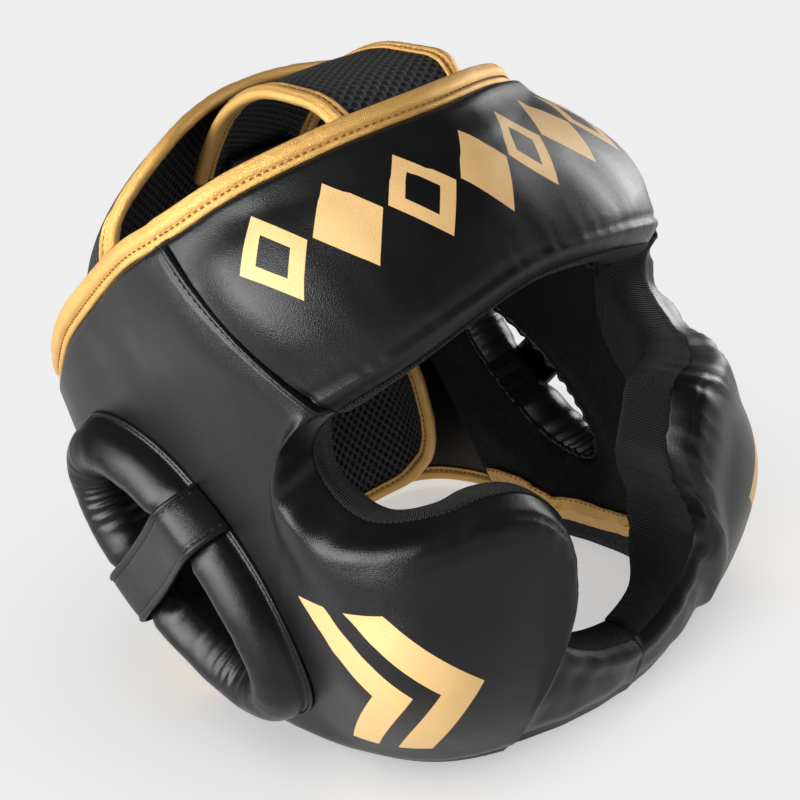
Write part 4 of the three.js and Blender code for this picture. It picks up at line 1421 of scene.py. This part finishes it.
def wing_spot(rows, end, side, a, b):
    """Place on a closing wing: a from 0 at the pad to 1 at the free end, b from 0 at the bottom to 1."""
    row = along(rows, a * (len(rows) - 1))
    z = row.low + (row.top - row.low) * b
    start = REAR_FOOT + (REAR_TOP - REAR_FOOT) * z / REAR_TOP_Z + 0.5
    turn = start + (end - start) * row.turn
    past = turn > 180
    return flip(at(360 - turn if past else turn, z, -row.depth), -side if past else side)


def panel(name, spot, nu, nv, low, material, slot, node, thick):
    """Sheet over a from 0 to 1 and b from low to 1, charted by its own lengths."""
    points = [[spot(i / nu, low + (1 - low) * j / nv) for j in range(nv + 1)] for i in range(nu + 1)]
    down = lengths([line[nv // 2] for line in points])
    across = lengths(points[nu // 2])
    long, wide = down[-1] * MM, across[-1] * MM
    bm, _ = grid(nu, nv, lambda i, j: points[i][j], lambda i, j: (down[i], across[j]))
    cloth(
        name, bm, material, slot, node, thick,
        lambda area: (wide * max(1.0, area / (wide * long)) * 1.02, long),
    )


def crown():
    panel("crown_mesh", crown_spot, 60, 40, -1, NET_CLOTH, "spacer_mesh", "crown_panel", MESH)
    for label, side in SIDES:
        rows = sheet_rows(crown_spot, lambda f: (0.17 + 0.83 * f, side), lambda a, b: (a, b * 0.8), 90)
        binding(f"crown_binding_tape_{label}", rows, TAPE_WIDTH, MESH / 2 + 0.1, f"crown_binding_{label}")


def rear():
    panel("rear_mesh", rear_spot, 90, 48, 0, NET_CLOTH, "spacer_mesh", "rear_panel", MESH)
    rows = sheet_rows(rear_spot, lambda f: (f, 0), lambda a, b: (a, 0.06), 120)
    binding("rear_binding_tape", rows, TAPE_WIDTH, MESH / 2 + 0.1, "rear_binding")


def wings():
    def right(a, b):
        return wing_spot(WING_RIGHT, WING_RIGHT_END, -1, a, b)

    def left(a, b):
        return wing_spot(WING_LEFT, WING_LEFT_END, 1, a, b)

    def outline(f):
        """Upper edge, free end and lower edge, in this order."""
        upper, end = 0.42, 0.58
        if f < upper:
            return 0.004 + 0.996 * f / upper, 1.0
        if f < end:
            return 1.0, 1 - (f - upper) / (end - upper)
        return 1 - 0.996 * (f - end) / (1 - end), 0.0

    def inward(a, b):
        return 0.5 + (a - 0.5) * (0.94 if a > 0.9 else 1), 0.5 + (b - 0.5) * 0.86

    panel("wing_mesh_right", right, 80, 40, 0, NET_CLOTH, "spacer_mesh", "wing_right", WING)
    panel("wing_leather_left", left, 80, 40, 0, LEATHER, "black_leather", "wing_left", WING)
    hem = sheet_rows(left, outline, inward, 220)
    sew("hem", [(p + into * 5 + normal * WING * 0.55, normal) for p, into, normal in hem])
    half = WING / 2 + 0.1
    low = sheet_rows(left, lambda f: (0.01 + 0.85 * f, 0.0), inward, 120)
    binding("wing_rim_tape_left", low, TAPE_WIDTH - 1, half, None)
    rows = sheet_rows(right, outline, inward, 220)
    binding("wing_binding_tape", rows, TAPE_WIDTH - 1, half, "wing_binding_right")


def rim_binding(label, side):
    """Gathered tape round the inner lower edge."""
    lines = []
    for row in SIDE_STATIONS[side]:
        if 0.5 <= row.s <= 15:
            d = row.length - row.rise
            corner = side_at(row, d, -side_depth(row, d))
            up = side_at(row, d - 9, -side_depth(row, d - 9)) - corner
            under = rest_line(row) - corner
            inward = corner - form(*side_place(row, d))
            lines.append((corner, up.normalized(), under.normalized(), inward.normalized()))
    run = lengths([line[0] for line in lines])
    steps = 16

    def place(i, j):
        corner, up, under, inward = lines[i]
        f = (j / steps - 0.5) * 2
        side_out, down_out = ((inward - way * inward.dot(way)).normalized() for way in (up, under))
        out = side_out.lerp(down_out, smooth((f + 0.35) / 0.7)).normalized()
        p = corner + (up if f < 0 else under) * RIM_LEG * max(abs(f) - 0.12, 0)
        pleat = 1.2 * ripple(run[i] / 5.0, f * 0.6, 2.5) + 0.9 * ripple(run[i] / 2.4, f, 9.1)
        return flip(p + out * (RIM_GAP + pleat * (1 - 0.6 * abs(f))), side)

    bm, _ = grid(len(lines) - 1, steps, place, lambda i, j: (run[i], j * 1.1))
    outward(bm)
    obj = piece(f"rim_binding_tape_{label}", bm, [GOLD], "gold_tape", f"rim_binding_{label}")
    thicken(obj, 0.9)
    sew("rim", [
        (flip(corner + up * RIM_SEWN + inward * (RIM_GAP + 0.7), side), flip(inward, side))
        for corner, up, _, inward in lines
    ])


def crown_tab():
    """Leather tab at the crown panel's tail, with a narrower end."""
    def spot(a, b):
        row = along(TAB, a * (len(TAB) - 1))
        tip = smooth((a - 0.82) / 0.18)
        return Vector((TAB_WIDTH / 2 * (1 - 0.25 * tip * tip) * b, row.y, row.z))

    panel("crown_tab_leather", spot, 30, 16, -1, LEATHER, "black_leather", "crown_tab", 2.4)


def thread_piece(name, rows, material, slot):
    """All stitches of one colour, each a small bead drawn out along its seam."""
    bm = bmesh.new()
    for p, run, normal, long, wide in rows:
        over = run.cross(normal).normalized()
        up = over.cross(run).normalized()
        turn = Matrix((run, over, up)).transposed().to_4x4()
        size = Matrix.Diagonal((long / 2 * MM, wide / 2 * MM, wide / 2 * MM, 1))
        bead = Matrix.Translation(laid(p)) @ turn @ size
        bmesh.ops.create_icosphere(bm, subdivisions=1, radius=1.0, matrix=bead)
    piece(name, bm, [material], slot)


forehead_pad()
for side_label, side_sign in SIDES:
    for make in (side_pad, face_lining, ear_ring, ear_strap, rim_binding):
        make(side_label, side_sign)
for make in (brow_lining, top_binding, crown, rear, wings, crown_tab):
    make()
thread_piece("stitches_black", stitches["black"], BLACK_THREAD, "black_leather")
thread_piece("stitches_gold", stitches["gold"], GOLD_THREAD, "gold_tape")

patch = frame["nodes"]["closure_patch"]
patch.data.materials.clear()
patch.data.materials.append(INNER_CLOTH)


# Floor, lights and camera

def paper_floor():
    bm = bmesh.new()
    bmesh.ops.create_grid(bm, x_segments=1, y_segments=1, size=60.0)
    obj = put("floor", mesh_of("floor", bm))
    paper = Finish(
        "floor_paper", dict(Strength=0.02), Base_Color=(0.88, 0.88, 0.88, 1), Roughness=0.9,
        Emission_Color=(1, 1, 1, 1), Emission_Strength=0.45,
    )
    obj.data.materials.append(paper.wear(Height=paper.noise(60.0, 3.0)))
    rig.stage(obj)
    return obj


def lamp(name, kind, watts, aim, lit, **values):
    """A light that shines along aim, and only on the pieces in lit."""
    data = bpy.data.lights.new(name, kind)
    data.energy = watts
    for key, value in values.items():
        setattr(data, key, value)
    obj = put(name, data)
    obj.rotation_euler = Vector(aim).to_track_quat("-Z", "Y").to_euler()
    obj.light_linking.receiver_collection = lit
    return obj


def softbox(name, place, size, watts, gloss=True):
    aim = Vector((0, 0, 0.15)) - Vector(place)
    obj = lamp(name, "AREA", watts, aim, guard_only, shape="RECTANGLE", size=size[0], size_y=size[1])
    obj.location = place
    obj.visible_glossy = gloss


def camera():
    data = bpy.data.cameras.new("camera")
    data.lens = 76.5
    data.sensor_width = 36.0
    right = Vector((0.7490, -0.6152, -0.2461))
    up = Vector((0.4170, 0.1490, 0.8966))
    back = right.cross(up).normalized()
    target, far = laid(Vector((0, 0, 118))), 756 * MM
    obj = put("camera", data)
    turn = Matrix((right, up, back)).transposed().to_4x4()
    obj.matrix_world = Matrix.Translation(target + back * far) @ turn
    bpy.context.scene.camera = obj


guard_only = bpy.data.collections.new("guard_only")
for part in bpy.context.scene.objects:
    if part.type == "MESH":
        guard_only.objects.link(part)
floor_only = bpy.data.collections.new("floor_only")
floor_only.objects.link(paper_floor())
camera()
softbox("left", (-1.35, 0.05, 0.75), (1.4, 1.3), 57)
softbox("right", (1.45, -0.05, 0.30), (0.9, 0.7), 17)
softbox("front", (-0.5, -1.4, 0.9), (0.8, 0.8), 11, gloss=False)
lamp("sun", "SUN", 1.45, (0.15, 0.45, -0.85), floor_only, angle=radians(80))
world = bpy.data.worlds.new("studio")
bpy.context.scene.world = world
world.use_nodes = True
sky = Tree(world.node_tree)
backdrop = world.node_tree.nodes["Background"]
sky.feed(backdrop.inputs["Color"], (1, 1, 1, 1))
seen = sky.add("ShaderNodeLightPath").outputs["Is Camera Ray"]
sky.feed(backdrop.inputs["Strength"], sky.math("MULTIPLY_ADD", seen, 0.78, 0.07))
bpy.context.scene.view_settings.view_transform = "Standard"

with open("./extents.json", "w") as size_file:
    json.dump({"cad": [list(c) for c in cad_box], "visual": [list(c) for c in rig.bounds()]}, size_file)
